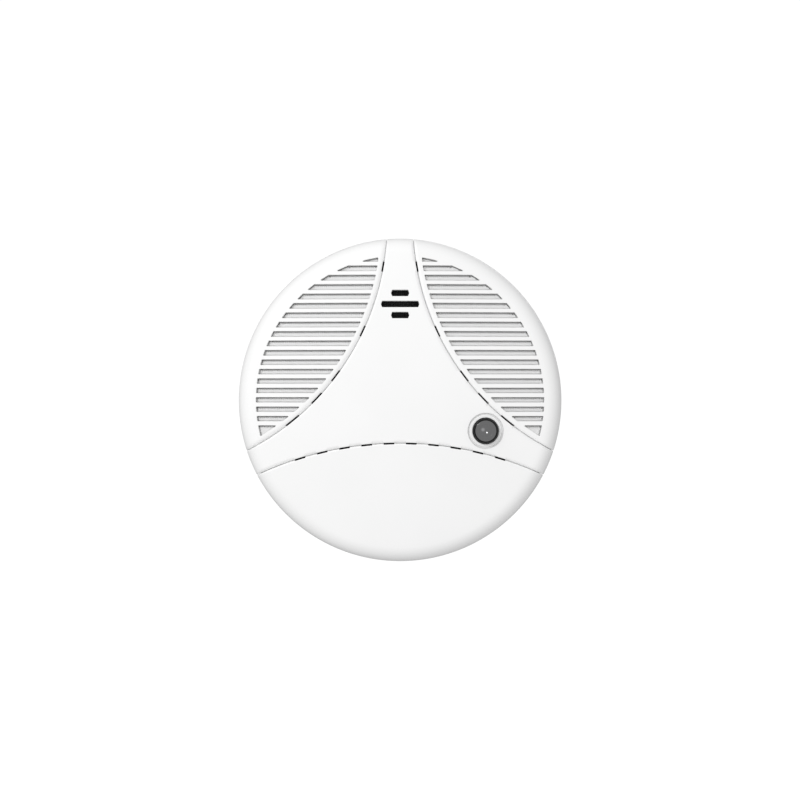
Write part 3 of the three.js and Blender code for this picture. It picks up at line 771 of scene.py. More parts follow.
# ------------------------------------------------------------------ round pieces
def fillet_profile(points, radius, steps=4):
    """Rounds the corners of a closed or axis-to-axis profile of (radius, height). radius may be one value or one per point."""
    pts = [np.array(p[:2], float) for p in points]
    closed = np.allclose(pts[0], pts[-1])
    if closed:
        pts = pts[:-1]
    n = len(pts)
    rad = np.broadcast_to(np.asarray(radius, float), (n,))
    out = []
    for i in range(n):
        if not closed and i in (0, n - 1):
            out.append(pts[i])
            continue
        a, b, c = pts[i - 1], pts[i], pts[(i + 1) % n]
        la, lc = np.linalg.norm(a - b), np.linalg.norm(c - b)
        u, v = (a - b) / la, (c - b) / lc
        cosang = np.clip(np.dot(u, v), -1, 1)
        ang = math.acos(cosang)
        if ang > math.radians(172) or rad[i] <= 0:
            out.append(b)
            continue
        t = min(rad[i] / math.tan(ang / 2), 0.45 * la, 0.45 * lc)
        rr = t * math.tan(ang / 2)
        bis = (u + v) / np.linalg.norm(u + v)
        ctr = b + bis * (rr / math.sin(ang / 2))
        p0, p1 = b + u * t, b + v * t
        a0, a1 = math.atan2(*(p0 - ctr)[::-1]), math.atan2(*(p1 - ctr)[::-1])
        da = (a1 - a0 + math.pi) % (2 * math.pi) - math.pi
        k = max(2, int(round(steps * abs(da) / (math.pi / 2))))
        out += [ctr + rr * np.array([math.cos(a0 + da * j / k), math.sin(a0 + da * j / k)]) for j in range(k + 1)]
    return np.array(out), closed


def lathe(points, n=96, x=0.0, y=0.0, fillet=0.15, steps=4, axis="z", z=0.0):
    """Body of revolution with rounded corners. axis z turns round the wall's normal, x round the horizontal."""
    p, closed = fillet_profile(points, fillet, steps)
    b = Builder()
    rings = []
    a = np.arange(n) * 2 * math.pi / n

    def place(r, h):
        if axis == "z":
            return np.stack([x + r * np.cos(a), y + r * np.sin(a), np.full(n, z + h)], -1)
        return np.stack([np.full(n, x + h), y + r * np.cos(a), z + r * np.sin(a)], -1)

    for r, h in p:
        if r < 1e-6:
            one = [x, y, z + h] if axis == "z" else [x + h, y, z]
            rings.append(("axis", b.add([one])))
        else:
            rings.append(("ring", b.add(place(r, h))))
    pairs = list(zip(rings, rings[1:]))
    if closed:
        pairs.append((rings[-1], rings[0]))
    for (ka, ia), (kb, ib) in pairs:
        if ka == "ring" and kb == "ring":
            b.strip(ia, ib, n)
        elif ka == "axis" and kb == "ring":
            b.f += [(ia, ib + j, ib + (j + 1) % n) for j in range(n)]
        elif ka == "ring" and kb == "axis":
            b.f += [(ia + (j + 1) % n, ia + j, ib) for j in range(n)]
    return face_out(b)


def slab(outer, holes, z0, z1, edge=0.2, bottom_edge=0.2, interior=None, seg=3):
    """Flat plate from z0 up to z1 with rolled edges. outer and holes are loops."""
    o = [(p, edge) for p in outer]
    h = [(p, edge) for p in holes]
    pts = np.zeros((0, 2)) if interior is None else interior
    b = plate(flat_map(z1), o, h, pts, z1 - z0, seg=seg, head=False, bottom_fillet=bottom_edge)
    return drop_unused(b)


def rbox(x0, x1, y0, y1, z0, z1, r=0.3, edge=0.15, steps=4):
    """Box with rounded upright corners and rolled edges."""
    lp = rounded([(x0, y0), (x1, y0), (x1, y1), (x0, y1)], r, steps, 50)
    return slab([lp], [], z0, z1, edge, edge)


def sweep(points, section, closed_path=False, caps=True):
    """Sweeps a closed section, given as (side, up) offsets, along a path of points with a fixed up axis of z."""
    pts = np.asarray(points, float)
    t = np.gradient(pts, axis=0)
    t /= np.linalg.norm(t, axis=1)[:, None]
    up = np.array([0, 0, 1.0])
    b = Builder()
    rings = []
    m = len(section)
    prev_n = None
    for c, d in zip(pts, t):
        nrm = np.cross(up, d)
        if np.linalg.norm(nrm) < 0.2:
            nrm = prev_n if prev_n is not None else np.cross([1.0, 0, 0], d)
        nrm = nrm - d * np.dot(nrm, d)
        nrm /= np.linalg.norm(nrm)
        prev_n = nrm
        bn = np.cross(d, nrm)
        rings.append(b.add([c + nrm * s[0] + bn * s[1] for s in section]))
    for r0, r1 in zip(rings, rings[1:]):
        b.strip(r0, r1, m)
    if caps:
        b.f.append(tuple(rings[0] + i for i in range(m))[::-1])
        b.f.append(tuple(rings[-1] + i for i in range(m)))
    return face_out(b)


def round_section(r, n=12):
    return [(r * math.cos(2 * math.pi * i / n), r * math.sin(2 * math.pi * i / n)) for i in range(n)]


def polar(r, deg):
    a = math.radians(deg)
    return r * math.cos(a), r * math.sin(a)


def sector_loop(r0, r1, a0, a1, corner=0.6):
    n = max(2, int(abs(a1 - a0) / 2.0))
    pts = [polar(r1, a0 + (a1 - a0) * i / n) for i in range(n + 1)] + [polar(r0, a1 - (a1 - a0) * i / n) for i in range(n + 1)]
    pts = np.array(pts)
    rad = np.full(len(pts), 0.0001)
    rad[[0, n, n + 1, 2 * n + 1]] = corner
    return rounded(pts, rad, 3, 50)


def disc_points(r, spacing=4.0, r0=0.0):
    out = []
    k = spacing
    while k < r:
        n = max(6, int(round(2 * math.pi * k / spacing)))
        if k > r0:
            out.append(circle(0, 0, k, n))
        k += spacing
    return np.concatenate(out) if out else np.zeros((0, 2))


# ------------------------------------------------------------------ rear housing
WELL_X, WELL_Y, BATT_Y, BATT_Z = 20.4, 9.3, -24.0, 15.9
HOOKS, TWIST = (30, 150, 270), 15
SCREW_POS = [(0.0, 52.0), (-47.9, -20.1), (47.9, -20.1)]
STANDOFF_POS = [polar(45, a) for a in (45, 165, 285)]
TX, TY = polar(40, 215)
housing = Builder()
wall_profile = [(57.9, 5.5), (58.6, 5.5), (60.9, 7.4), (61.5, 14.0), (58.4, 14.0), (58.4, 16.5), (56.9, 16.5), (56.9, 12.5), (59.2, 12.5), (59.2, 7.5), (57.9, 7.5), (57.9, 5.5)]
housing.join(lathe(wall_profile, 256, fillet=[0.0, 0.5, 1.6, 0.35, 0.1, 0.4, 0.3, 0.3, 0.3, 0.8, 0.0], steps=5))
keyed = []
for a in HOOKS:
    lp = np.array([polar(46.9, a - 9)] + [polar(46.9, a - 9 + 15 * i / 8) for i in range(1, 9)] + [polar(44.1, a + 6 - 27 * i / 14) for i in range(15)] + [polar(50.2, a - 21 + 12 * i / 7) for i in range(8)])
    rad = np.full(len(lp), 0.0001)
    for i in (0, 8, 9, 23, 24, 31):
        rad[i] = 0.35
    keyed.append(rounded(lp, rad, 3, 50))
well = rounded([(-WELL_X, BATT_Y - WELL_Y), (WELL_X, BATT_Y - WELL_Y), (WELL_X, BATT_Y + WELL_Y), (-WELL_X, BATT_Y + WELL_Y)], 1.0, 5, 4)
screw_holes = [circle(x, y, 3.2, 40) for x, y in SCREW_POS]
floor_holes = keyed + [well, circle(TX, TY, 1.9, 32)] + screw_holes
floor_b = plate(flat_map(7.5), [(circle(0, 0, 57.95, 256), 0.05)], [(p, 0.2) for p in floor_holes], disc_points(57, 5), 2.0, seg=3, head=False, bottom_fillet=0.2)
housing.join(drop_unused(floor_b))
# Battery well, screw towers and board posts.
wo = rounded([(-WELL_X - 1.5, BATT_Y - WELL_Y - 1.5), (WELL_X + 1.5, BATT_Y - WELL_Y - 1.5), (WELL_X + 1.5, BATT_Y + WELL_Y + 1.5), (-WELL_X - 1.5, BATT_Y + WELL_Y + 1.5)], 1.8, 5, 6)
housing.join(slab([wo], [well], 7.3, 24.85, 0.3, 0.01))
housing.join(slab([wo], [], 24.8, 26.2, 0.3, 0.01))
for x, y in SCREW_POS:
    housing.join(slab([circle(x, y, 3.85, 40)], [circle(x, y, 1.7, 28)], 7.4, 14.0, 0.2, 0.01))
for x, y in STANDOFF_POS:
    housing.join(slab([circle(x, y, 2.9, 32)], [circle(x, y, 1.2, 20)], 7.3, 17.7, 0.2, 0.01))
# Stiffening ribs on the floor's inside.
for a in (60, 105, 135, 180, 240, 300, 330):
    ca, sa = math.cos(math.radians(a)), math.sin(math.radians(a))
    lo, hi = 50.6, 58.9
    q = [(lo, -0.5), (hi, -0.5), (hi, 0.5), (lo, 0.5)]
    housing.join(slab([rounded([(u * ca - v * sa, u * sa + v * ca) for u, v in q], 0.35, 3, 50)], [], 7.4, 10.4, 0.2, 0.01))
housing_ob = housing.object("rear_housing_shell")

door = rounded([(-20.1, BATT_Y - 9.0), (20.1, BATT_Y - 9.0), (20.1, BATT_Y + 9.0), (-20.1, BATT_Y + 9.0)], 0.9, 5, 3)
grip = stadium(15.4, BATT_Y, 8, 3, 10, True)
door_b = slab([door], [grip], 5.5, 6.6, 0.15, 0.25)
door_b.join(slab([door], [], 6.55, 7.0, 0.15, 0.05))
for k in range(5):
    door_b.join(rbox(-17 + k * 2.2, -16 + k * 2.2, BATT_Y - 6, BATT_Y + 6, 5.25, 5.6, 0.4, 0.2))
# Ribs stay inside the door's own space.
door_ob = door_b.object("battery_door_panel")

# ------------------------------------------------------------------ mounting base
base = Builder()
slot_loops = [stadium(33, 0, 12, 4.6, 12), stadium(-33, 0, 12, 4.6, 12), stadium(0, 33, 12, 4.6, 12, True), stadium(0, -33, 12, 4.6, 12, True)]
boss_loops = [stadium(33, 0, 18, 9, 16), stadium(-33, 0, 18, 9, 16), stadium(0, 33, 18, 9, 16, True), stadium(0, -33, 18, 9, 16, True)]
knock = circle(0, 0, 7.0, 64)
# Floor above the back recess, then the pads that reach the wall.
rim_out = circle(0, 0, 57.5, 256)
base.join(slab([circle(0, 0, 57.3, 256)], slot_loops, 0.7, 2.2, 0.15, 0.02, disc_points(56, 6)))
base.join(lathe([(50.9, 0.0), (57.5, 0.0), (57.5, 5.2), (55.3, 5.2), (55.3, 2.1), (50.9, 2.1), (50.9, 0.0)], 256, fillet=[0.3, 0.6, 0.45, 0.3, 0.3, 0.05]))
base.join(lathe([(0, 0.0), (13.0, 0.0), (13.0, 2.15), (0, 2.15)], 128, fillet=[0, 0.3, 0.05, 0]))
for lp, bl in zip(slot_loops, boss_loops):
    base.join(slab([bl], [lp], 0.0, 2.8, 0.3, 0.3))
base.join(lathe([(20.0, 2.1), (21.4, 2.1), (21.4, 4.2), (20.0, 4.2), (20.0, 2.1)], 160, fillet=[0, 0, 0.25, 0.25]))
# Ribs in the back recess: two rings and eight spokes, flush with the wall.
for r in (24.5, 42.5):
    segs = []
    base.join(lathe([(r - 0.45, 0.06), (r + 0.45, 0.06), (r + 0.45, 0.9), (r - 0.45, 0.9), (r - 0.45, 0.06)], 200, fillet=[0.15, 0.15, 0, 0]) if r == 42.5 or r == 24.5 else Builder())
for a in range(0, 360, 30):
    if a % 90 == 0:
        continue
    ca, sa = math.cos(math.radians(a)), math.sin(math.radians(a))
    q = [(12.8, -0.45), (51.1, -0.45), (51.1, 0.45), (12.8, 0.45)]
    base.join(slab([rounded([(u * ca - v * sa, u * sa + v * ca) for u, v in q], 0.3, 3, 50)], [], 0.12, 0.9, 0.05, 0.15))
for a in HOOKS:
    base.join(slab([sector_loop(44.5, 46.5, a - 5, a + 5)], [], 2.0, 9.3, 0.3, 0.02))
    base.join(slab([sector_loop(44.5, 49.7, a - 5, a + 5)], [], 7.9, 9.4, 0.35, 0.3))
# Tamper cam.
mid = math.radians(222)
tan_v, rad_v = np.array([-math.sin(mid), math.cos(mid)]), np.array([math.cos(mid), math.sin(mid)])
s0 = -math.radians(7) * 40
prof_s = [(s0 - 3.5, 2.0), (s0 + 13.2, 2.0), (s0 + 13.2, 2.3), (s0 - 0.5, 4.08), (s0 - 3.5, 4.08)]
cb = Builder()
ra = cb.add([[*(rad_v * 36.5 + tan_v * s), z] for s, z in prof_s])
rb = cb.add([[*(rad_v * 43.5 + tan_v * s), z] for s, z in prof_s])
cb.strip(ra, rb, 5)
cb.f += [(ra, ra + 1, ra + 2, ra + 3, ra + 4), (rb + 4, rb + 3, rb + 2, rb + 1, rb)]
base.join(face_out(cb))
base_ob = base.object("mounting_base_plate")

# ------------------------------------------------------------------ test button
BTOP = 41.0
ridge = []
r = 4.15
cap = [(0, 24.9), (1.5, 24.9), (1.5, 34.9), (5.8, 34.9), (5.8, 36.0), (4.93, 36.0), (4.93, 39.8), (4.4, 40.75), (4.1, 40.8), (4.1, 40.3), (0, 40.3)]
button_b = lathe(cap, 128, BTN_X, BTN_Y, fillet=[0, 0.2, 0.2, 0.2, 0.2, 0.2, 0.5, 0.3, 0.1, 0.05, 0], steps=5)
button_ob = button_b.object("test_button_cap", 50)
lens = [(0, 40.2), (4.02, 40.2), (4.02, 40.72), (3.6, 40.84), (3.42, 40.78), (3.3, 40.8), (2.6, 40.86), (2.42, 40.79), (2.28, 40.82), (1.2, 40.9), (0, 40.92)]
lens_b = lathe(lens, 128, BTN_X, BTN_Y, fillet=[0, 0, 0.08, 0.1, 0.06, 0.06, 0.1, 0.06, 0.06, 0.6, 0], steps=4)
lens_ob = lens_b.object("test_button_window", 50)
# A small bead on the button's window. Its material glows: a painted highlight on the window.
glow_bead_b = lathe([(0, 40.7), (0.3, 40.7), (0.3, 40.93), (0, 40.99)], 40, BTN_X + 0.4, BTN_Y - 0.6, fillet=[0, 0, 0.1, 0])
glow_bead_ob = glow_bead_b.object("painted_glow_bead", 50)

# ------------------------------------------------------------------ pieces inside the head
PCB_R, PCB_Z, PCB_TOP, BATT_Z = 52.0, 18.0, 19.6, 15.7
Z0 = PCB_TOP + 0.3
INNER = {}


def thread(r0, r1, z_from, z_to, pitch):
    pts, z = [], z_from
    while z + pitch <= z_to:
        pts += [(r0, z), (r1, z + 0.35 * pitch), (r1, z + 0.55 * pitch), (r0, z + 0.9 * pitch)]
        z += pitch
    return pts


def cross(x, y, length, width):
    l, w = length / 2, width / 2
    pts = [(l, -w), (l, w), (w, w), (w, l), (-w, l), (-w, w), (-l, w), (-l, -w), (-w, -w), (-w, -l), (w, -l), (w, -w)]
    return rounded(np.array(pts) + [x, y], 0.1, 3, 50)


def spline(points, per=8):
    """Smooth curve through points."""
    q = np.asarray(points, float)
    q = np.concatenate([[2 * q[0] - q[1]], q, [2 * q[-1] - q[-2]]])
    out = []
    for i in range(1, len(q) - 2):
        for j in range(per):
            t = j / per
            out.append(0.5 * (2 * q[i] + (q[i + 1] - q[i - 1]) * t + (2 * q[i - 1] - 5 * q[i] + 4 * q[i + 1] - q[i + 2]) * t**2 + (3 * q[i] - q[i - 1] - 3 * q[i + 1] + q[i + 2]) * t**3))
    return np.array(out + [q[-2]])


# Circuit board: a round edge with three bites for the case screws, a window for the battery well, three screw holes.
bites = []
for x, y in SCREW_POS:
    d, a = math.hypot(x, y), math.atan2(y, x)
    half = math.acos((PCB_R**2 + d * d - 4.4**2) / (2 * PCB_R * d))
    bites.append((a % (2 * math.pi), half, x, y))
bites.sort()
edge = []
for i, (a, half, x, y) in enumerate(bites):
    p0 = np.array([PCB_R * math.cos(a - half), PCB_R * math.sin(a - half)])
    p1 = np.array([PCB_R * math.cos(a + half), PCB_R * math.sin(a + half)])
    t0, t1 = math.atan2(p0[1] - y, p0[0] - x), math.atan2(p1[1] - y, p1[0] - x)
    d = (t1 - t0) % (2 * math.pi) - 2 * math.pi
    t = t0 + d * np.arange(0, 17) / 16
    edge.append(np.stack([x + 4.4 * np.cos(t), y + 4.4 * np.sin(t)], -1))
    b0, b1 = a + half, bites[(i + 1) % 3][0] - bites[(i + 1) % 3][1] + (2 * math.pi if i == 2 else 0)
    m = int((b1 - b0) * PCB_R / 2.0)
    t = b0 + (b1 - b0) * np.arange(1, m) / m
    edge.append(np.stack([PCB_R * np.cos(t), PCB_R * np.sin(t)], -1))
edge = np.concatenate(edge)
well = rounded([(-22.4, BATT_Y - 11.4), (22.4, BATT_Y - 11.4), (22.4, BATT_Y + 11.4), (-22.4, BATT_Y + 11.4)], 1.0, 5, 3)
INNER["main_pcb"] = slab([edge], [well] + [circle(x, y, 1.4, 28) for x, y in STANDOFF_POS], PCB_Z, PCB_TOP, 0.08, 0.08)

INNER["sounder_housing"] = lathe([(13.5, Z0), (13.5, 32.1), (12.7, 32.9), (4.2, 32.9), (3.4, 32.3), (3.4, 31.3), (11.1, 31.3), (11.1, 25.6), (12.3, 25.6), (12.3, Z0), (13.5, Z0)], 128, 0.0, 33.8, fillet=0.3)
INNER["piezo_disc"] = lathe([(0, 24.9), (11.9, 24.9), (11.9, 25.2), (8.2, 25.2), (8.2, 25.45), (0, 25.45)], 128, 0.0, 33.8, fillet=0.06)
INNER["co_sensor_cell"] = lathe([(0, Z0), (10, Z0), (10, 21.6), (9.8, 21.8), (9.8, 22.2), (10, 22.4), (10, 29.4), (9.2, 30.2), (2.2, 30.2), (2.2, 29.4), (0, 29.4)], 128, -27, 10, fillet=[0, 0.3, 0.1, 0.1, 0.1, 0.1, 0.5, 0.5, 0.2, 0.2, 0])
INNER["sensor_gasket"] = lathe([(6.6, 30.5), (9.0, 30.5), (9.0, 33.4), (6.6, 33.4), (6.6, 30.5)], 96, -27, 10, fillet=0.4)
INNER["sensor_filter"] = lathe([(0, 30.5), (6.1, 30.5), (6.1, 31.6), (0, 31.6)], 96, -27, 10, fillet=0.3)
INNER["battery"] = lathe([(0, -17.25), (7.9, -17.25), (8.5, -16.65), (8.5, 15.65), (7.7, 16.35), (6.2, 16.35), (6.2, 16.1), (0, 16.1)], 128, 0, BATT_Y, axis="x", z=BATT_Z + 0.2, fillet=[0, 0.3, 0.3, 0.6, 0.3, 0.1, 0.1, 0])
INNER["capacitor"] = lathe([(0, Z0), (4.0, Z0), (4.0, Z0 + 1.6), (3.7, Z0 + 1.9), (4.0, Z0 + 2.2), (4.0, 30.4), (3.6, 30.8), (3.0, 30.8), (2.9, 30.7), (0, 30.7)], 96, 24, 13, fillet=0.2)
INNER["status_led"] = lathe([(0, Z0), (1.6, Z0), (1.6, Z0 + 0.6), (1.5, Z0 + 0.7), (1.5, 24.3), (1.2, 25.1), (0.6, 25.5), (0, 25.58)], 64, BTN_X + 5.6, BTN_Y + 1.8, fillet=[0, 0.1, 0.05, 0.05, 0.5, 0.3, 0.2, 0])
sw = rbox(BTN_X - 3, BTN_X + 3, BTN_Y - 3, BTN_Y + 3, Z0, PCB_TOP + 1.55, 0.4, 0.1)
sw.join(slab([rounded([(BTN_X - 3, BTN_Y - 3), (BTN_X + 3, BTN_Y - 3), (BTN_X + 3, BTN_Y + 3), (BTN_X - 3, BTN_Y + 3)], 0.4, 4, 50)], [circle(BTN_X, BTN_Y, 2.0, 48)], PCB_TOP + 1.5, PCB_TOP + 3.5, 0.15, 0.02))
INNER["tact_switch"] = sw
INNER["tact_plunger"] = lathe([(0, PCB_TOP + 2.9), (1.7, PCB_TOP + 2.9), (1.7, 24.6), (0, 24.6)], 48, BTN_X, BTN_Y, fillet=0.2)
tx, ty = polar(40, 215)
INNER["tamper_switch"] = rbox(tx - 3, tx + 3, ty - 3, ty + 3, 14.0, PCB_Z - 0.3, 0.4, 0.25)
INNER["tamper_plunger"] = lathe([(0, 4.4), (1.1, 4.4), (1.5, 4.8), (1.5, 9.5), (2.9, 9.5), (2.9, 10.5), (1.3, 10.5), (1.3, 13.6), (0, 13.6)], 48, tx, ty, fillet=0.18)
t = np.linspace(0, 2 * math.pi * 2.6, 110)
INNER["tamper_spring"] = sweep(np.stack([tx + 2.25 * np.cos(t), ty + 2.25 * np.sin(t), np.linspace(10.9, 13.5, 110)], -1), round_section(0.2, 12))
ax, ay = polar(46, -6)
wire = [(ax, ay, Z0), (ax, ay, Z0 + 4)] + [(*polar(46, a), Z0 + 6.2) for a in range(-2, 27, 4)]
INNER["antenna_wire"] = sweep(spline(wire), round_section(0.48, 14))
INNER["rf_shield"] = rbox(-46, -27, -14, -1.5, Z0, PCB_TOP + 2.6, 0.8, 0.3)
INNER["microcontroller"] = rbox(2, 10, -4, 4, Z0, PCB_TOP + 1.4, 0.2, 0.15)
for i, (x, y) in enumerate(SCREW_POS):
    b = lathe([(0, 7.15), (2.8, 7.15), (2.8, 8.3), (1.25, 8.3)] + thread(1.05, 1.3, 8.6, 20.4, 0.9) + [(1.0, 20.5), (0.6, 21.5), (0, 21.5)], 40, x, y, fillet=0.05)
    INNER["case_screw_%d" % (i + 1)] = b.join(slab([circle(x, y, 2.8, 40)], [cross(x, y, 3.2, 0.7)], 6.2, 7.2, 0.02, 0.08))
for i, (x, y) in enumerate(STANDOFF_POS):
    b = lathe([(0, 12.0), (0.5, 12.0)] + thread(0.7, 0.9, 12.3, 17.6, 0.7) + [(0.85, 18.0), (0.85, Z0), (2.1, Z0), (2.1, Z0 + 0.75), (0, Z0 + 0.75)], 36, x, y, fillet=0.05)
    INNER["pcb_screw_%d" % (i + 1)] = b.join(slab([circle(x, y, 2.1, 36)], [cross(x, y, 2.4, 0.5)], Z0 + 0.7, Z0 + 1.5, 0.06, 0.02))
INNER = {k: v.object(k + "_body") for k, v in INNER.items()}
cap_b = lathe([(0, 16.0), (6.0, 16.0), (6.0, 16.3), (3.2, 16.3), (3.2, 17.25), (0, 17.25)], 96, 0, BATT_Y, axis="x", z=BATT_Z + 0.2, fillet=[0, 0, 0.1, 0.2, 0.3, 0])
cap_ob = cap_b.object("battery_cap")

# ------------------------------------------------------------------ materials
class Mat:
    """A principled material with its colour, roughness and bump built from procedural textures in object space."""

    def __init__(self, name, color, rough=0.5, metal=0.0, spec=0.5, coat=0.0, coat_rough=0.1):
        self.m = bpy.data.materials.new(name)
        self.m.use_nodes = True
        self.t = self.m.node_tree
        self.bsdf = self.t.nodes["Principled BSDF"]
        self.base = tuple(color)
        self.set("Base Color", (*color, 1))
        self.set("Roughness", rough)
        self.set("Metallic", metal)
        self.set("Specular IOR Level", spec)
        self.set("Coat Weight", coat)
        self.set("Coat Roughness", coat_rough)
        self.coord = self.t.nodes.new("ShaderNodeTexCoord")
        self.rough = rough
        self.height = None

    def set(self, key, value):
        self.bsdf.inputs[key].default_value = value

    def link(self, a, b):
        self.t.links.new(a, b)

    def node(self, kind, **kw):
        n = self.t.nodes.new(kind)
        for k, v in kw.items():
            setattr(n, k, v)
        return n

    def noise(self, per_m, detail=3.0, rough=0.5, stretch=(1, 1, 1)):
        mp = self.node("ShaderNodeMapping")
        mp.inputs["Scale"].default_value = [per_m * s for s in stretch]
        self.link(self.coord.outputs["Object"], mp.inputs["Vector"])
        n = self.node("ShaderNodeTexNoise")
        n.inputs["Scale"].default_value = 1.0
        n.inputs["Detail"].default_value = detail
        n.inputs["Roughness"].default_value = rough
        self.link(mp.outputs["Vector"], n.inputs["Vector"])
        return n.outputs["Fac"]

    def ramp(self, src, lo, hi, a, b):
        r = self.node("ShaderNodeMapRange")
        r.inputs["From Min"].default_value, r.inputs["From Max"].default_value = lo, hi
        r.inputs["To Min"].default_value, r.inputs["To Max"].default_value = a, b
        self.link(src, r.inputs["Value"])
        return r.outputs["Result"]

    def vary_color(self, src, a, b, lo=0.35, hi=0.65):
        mix = self.node("ShaderNodeMix", data_type="RGBA")
        mix.inputs[6].default_value, mix.inputs[7].default_value = (*a, 1), (*b, 1)
        self.link(self.ramp(src, lo, hi, 0, 1), mix.inputs[0])
        self.link(mix.outputs[2], self.bsdf.inputs["Base Color"])
        return mix.outputs[2]

    def vary_rough(self, src, a, b):
        self.link(self.ramp(src, 0.3, 0.7, a, b), self.bsdf.inputs["Roughness"])

    def bump(self, src, distance, strength=1.0):
        b = self.node("ShaderNodeBump")
        b.inputs["Strength"].default_value = strength
        b.inputs["Distance"].default_value = distance
        self.link(src, b.inputs["Height"])
        if self.height is not None:
            self.link(self.height, b.inputs["Normal"])
        self.height = b.outputs["Normal"]
        self.link(self.height, self.bsdf.inputs["Normal"])


def moulded(name, color, rough=0.42, grain=9000, depth=0.000012, tint=0.985, spec=0.45):
    m = Mat(name, color, rough, spec=spec)
    m.vary_color(m.noise(35, 2), [c * tint for c in color], color)
    m.vary_rough(m.noise(900, 3), rough - 0.05, rough + 0.06)
    m.bump(m.noise(grain, 2), depth)
    m.bump(m.noise(60, 2), 0.00003, 0.3)
    return m.m


def painted_shade_ring_plastic(name, color, rough, x, y, r0, r1, shade):
    """Moulded plastic with a ring of painted shade in the face: greyer by the factor shade from radius r0 to r1 (mm)
    round the point x, y, where the groove round the button lies in shade.
    """
    m = Mat(name, color, rough, spec=0.45)
    base = m.vary_color(m.noise(35, 2), [c * 0.985 for c in color], color)
    face = m.node("ShaderNodeVectorMath", operation="MULTIPLY")
    face.inputs[1].default_value = (1, 0, 1)
    m.link(m.coord.outputs["Object"], face.inputs[0])
    dist = m.node("ShaderNodeVectorMath", operation="DISTANCE")
    dist.inputs[1].default_value = (x / 1000, 0, y / 1000)
    m.link(face.outputs[0], dist.inputs[0])
    # The mask picks out the ring between r0 and r1, and there the colour is mixed down to painted shade.
    ring_shade_mask = m.node("ShaderNodeMath", operation="MULTIPLY")
    m.link(m.ramp(dist.outputs["Value"], (r0 - 0.12) / 1000, (r0 + 0.12) / 1000, 0, 1), ring_shade_mask.inputs[0])
    m.link(m.ramp(dist.outputs["Value"], (r1 - 0.12) / 1000, (r1 + 0.12) / 1000, 1, 0), ring_shade_mask.inputs[1])
    mix = m.node("ShaderNodeMix", data_type="RGBA")
    mix.inputs[7].default_value = (*[c * shade for c in color], 1)
    m.link(ring_shade_mask.outputs[0], mix.inputs[0])
    m.link(base, mix.inputs[6])
    m.link(mix.outputs[2], m.bsdf.inputs["Base Color"])
    m.vary_rough(m.noise(900, 3), rough - 0.05, rough + 0.06)
    m.bump(m.noise(9000, 2), 0.000012)
    m.bump(m.noise(60, 2), 0.00003, 0.3)
    return m.m


M = {}
M["cover_plastic"] = moulded("cover_plastic", (0.93, 0.93, 0.93), 0.42)
# The fascia's plastic carries a greyer ring round the test button: painted shade in the groove there.
M["fascia_plastic"] = painted_shade_ring_plastic("fascia_plastic", (0.93, 0.93, 0.93), 0.42, BTN_X, BTN_Y, 6.1, 6.85, 0.8)
M["base_plastic"] = moulded("base_plastic", (0.88, 0.88, 0.875), 0.5, 5000, 0.00002)
# The baffle floors are a darker grey copy of the white plastic, set to how dark the louvre slots look: painted shade in
# the recesses behind the louvres.
M["baffle_plastic"] = moulded("baffle_plastic", (0.77, 0.77, 0.77), 0.55, 4000, 0.00002)
M["black_plastic"] = moulded("black_plastic", (0.018, 0.018, 0.019), 0.5, 5000, 0.00002, 0.8)
m = Mat("smoked_cap", (0.005, 0.005, 0.0055), 0.2, spec=0.16)
m.vary_rough(m.noise(1500, 2), 0.16, 0.24)
m.bump(m.noise(8000, 2), 0.000004)
M["smoked_lens"] = m.m
m = Mat("smoked_window", (0.11, 0.11, 0.112), 0.22, spec=0.45, coat=0.2, coat_rough=0.08)
# The window's colour is paler in a soft spot a little left of and above its centre.
sep = m.node("ShaderNodeVectorMath", operation="DISTANCE")
m.link(m.coord.outputs["Object"], sep.inputs[0])
sep.inputs[1].default_value = ((BTN_X - 1.1) / 1000, -0.0409, (BTN_Y + 0.5) / 1000)
mix = m.node("ShaderNodeMix", data_type="RGBA")
mix.inputs[6].default_value, mix.inputs[7].default_value = (0.25, 0.25, 0.255, 1), (0.11, 0.11, 0.112, 1)
m.link(m.ramp(sep.outputs["Value"], 0.0003, 0.0009, 0, 1), mix.inputs[0])
m.link(mix.outputs[2], m.bsdf.inputs["Base Color"])
m.vary_rough(m.noise(1500, 2), 0.18, 0.28)
M["smoked_window"] = m.m
# Glowing white: the bead is no lamp, and its emission is a painted highlight on the button's window.
m = Mat("painted_glow", (0.95, 0.95, 0.95), 0.15, spec=0.6)
m.set("Emission Color", (1, 1, 1, 1))
m.set("Emission Strength", 0.6)
m.vary_rough(m.noise(4000, 2), 0.1, 0.2)
M["painted_glow"] = m.m


def insect_mesh():
    m = Mat("insect_mesh", (0.012, 0.012, 0.012), 0.7, spec=0.3)
    w = []
    for ax in ("X", "Z"):
        wave = m.node("ShaderNodeTexWave", wave_type="BANDS", bands_direction=ax)
        wave.inputs["Scale"].default_value = 350.0
        m.link(m.coord.outputs["Object"], wave.inputs["Vector"])
        w.append(wave.outputs["Fac"])
    mx = m.node("ShaderNodeMath", operation="MAXIMUM")
    m.link(w[0], mx.inputs[0])
    m.link(w[1], mx.inputs[1])
    m.vary_color(mx.outputs[0], (0.004, 0.004, 0.004), (0.02, 0.02, 0.021), 0.3, 0.9)
    m.bump(mx.outputs[0], 0.0001)
    return m.m


M["insect_mesh"] = insect_mesh()


def metal(name, color, rough, brushed=True, per=800):
    m = Mat(name, color, rough, metal=1.0)
    n = m.noise(per, 4, 0.6, (1, 1, 14) if brushed else (1, 1, 1))
    m.vary_color(n, [c * 0.86 for c in color], color)
    m.vary_rough(n, rough - 0.08, rough + 0.1)
    m.bump(n, 0.000006)
    return m.m


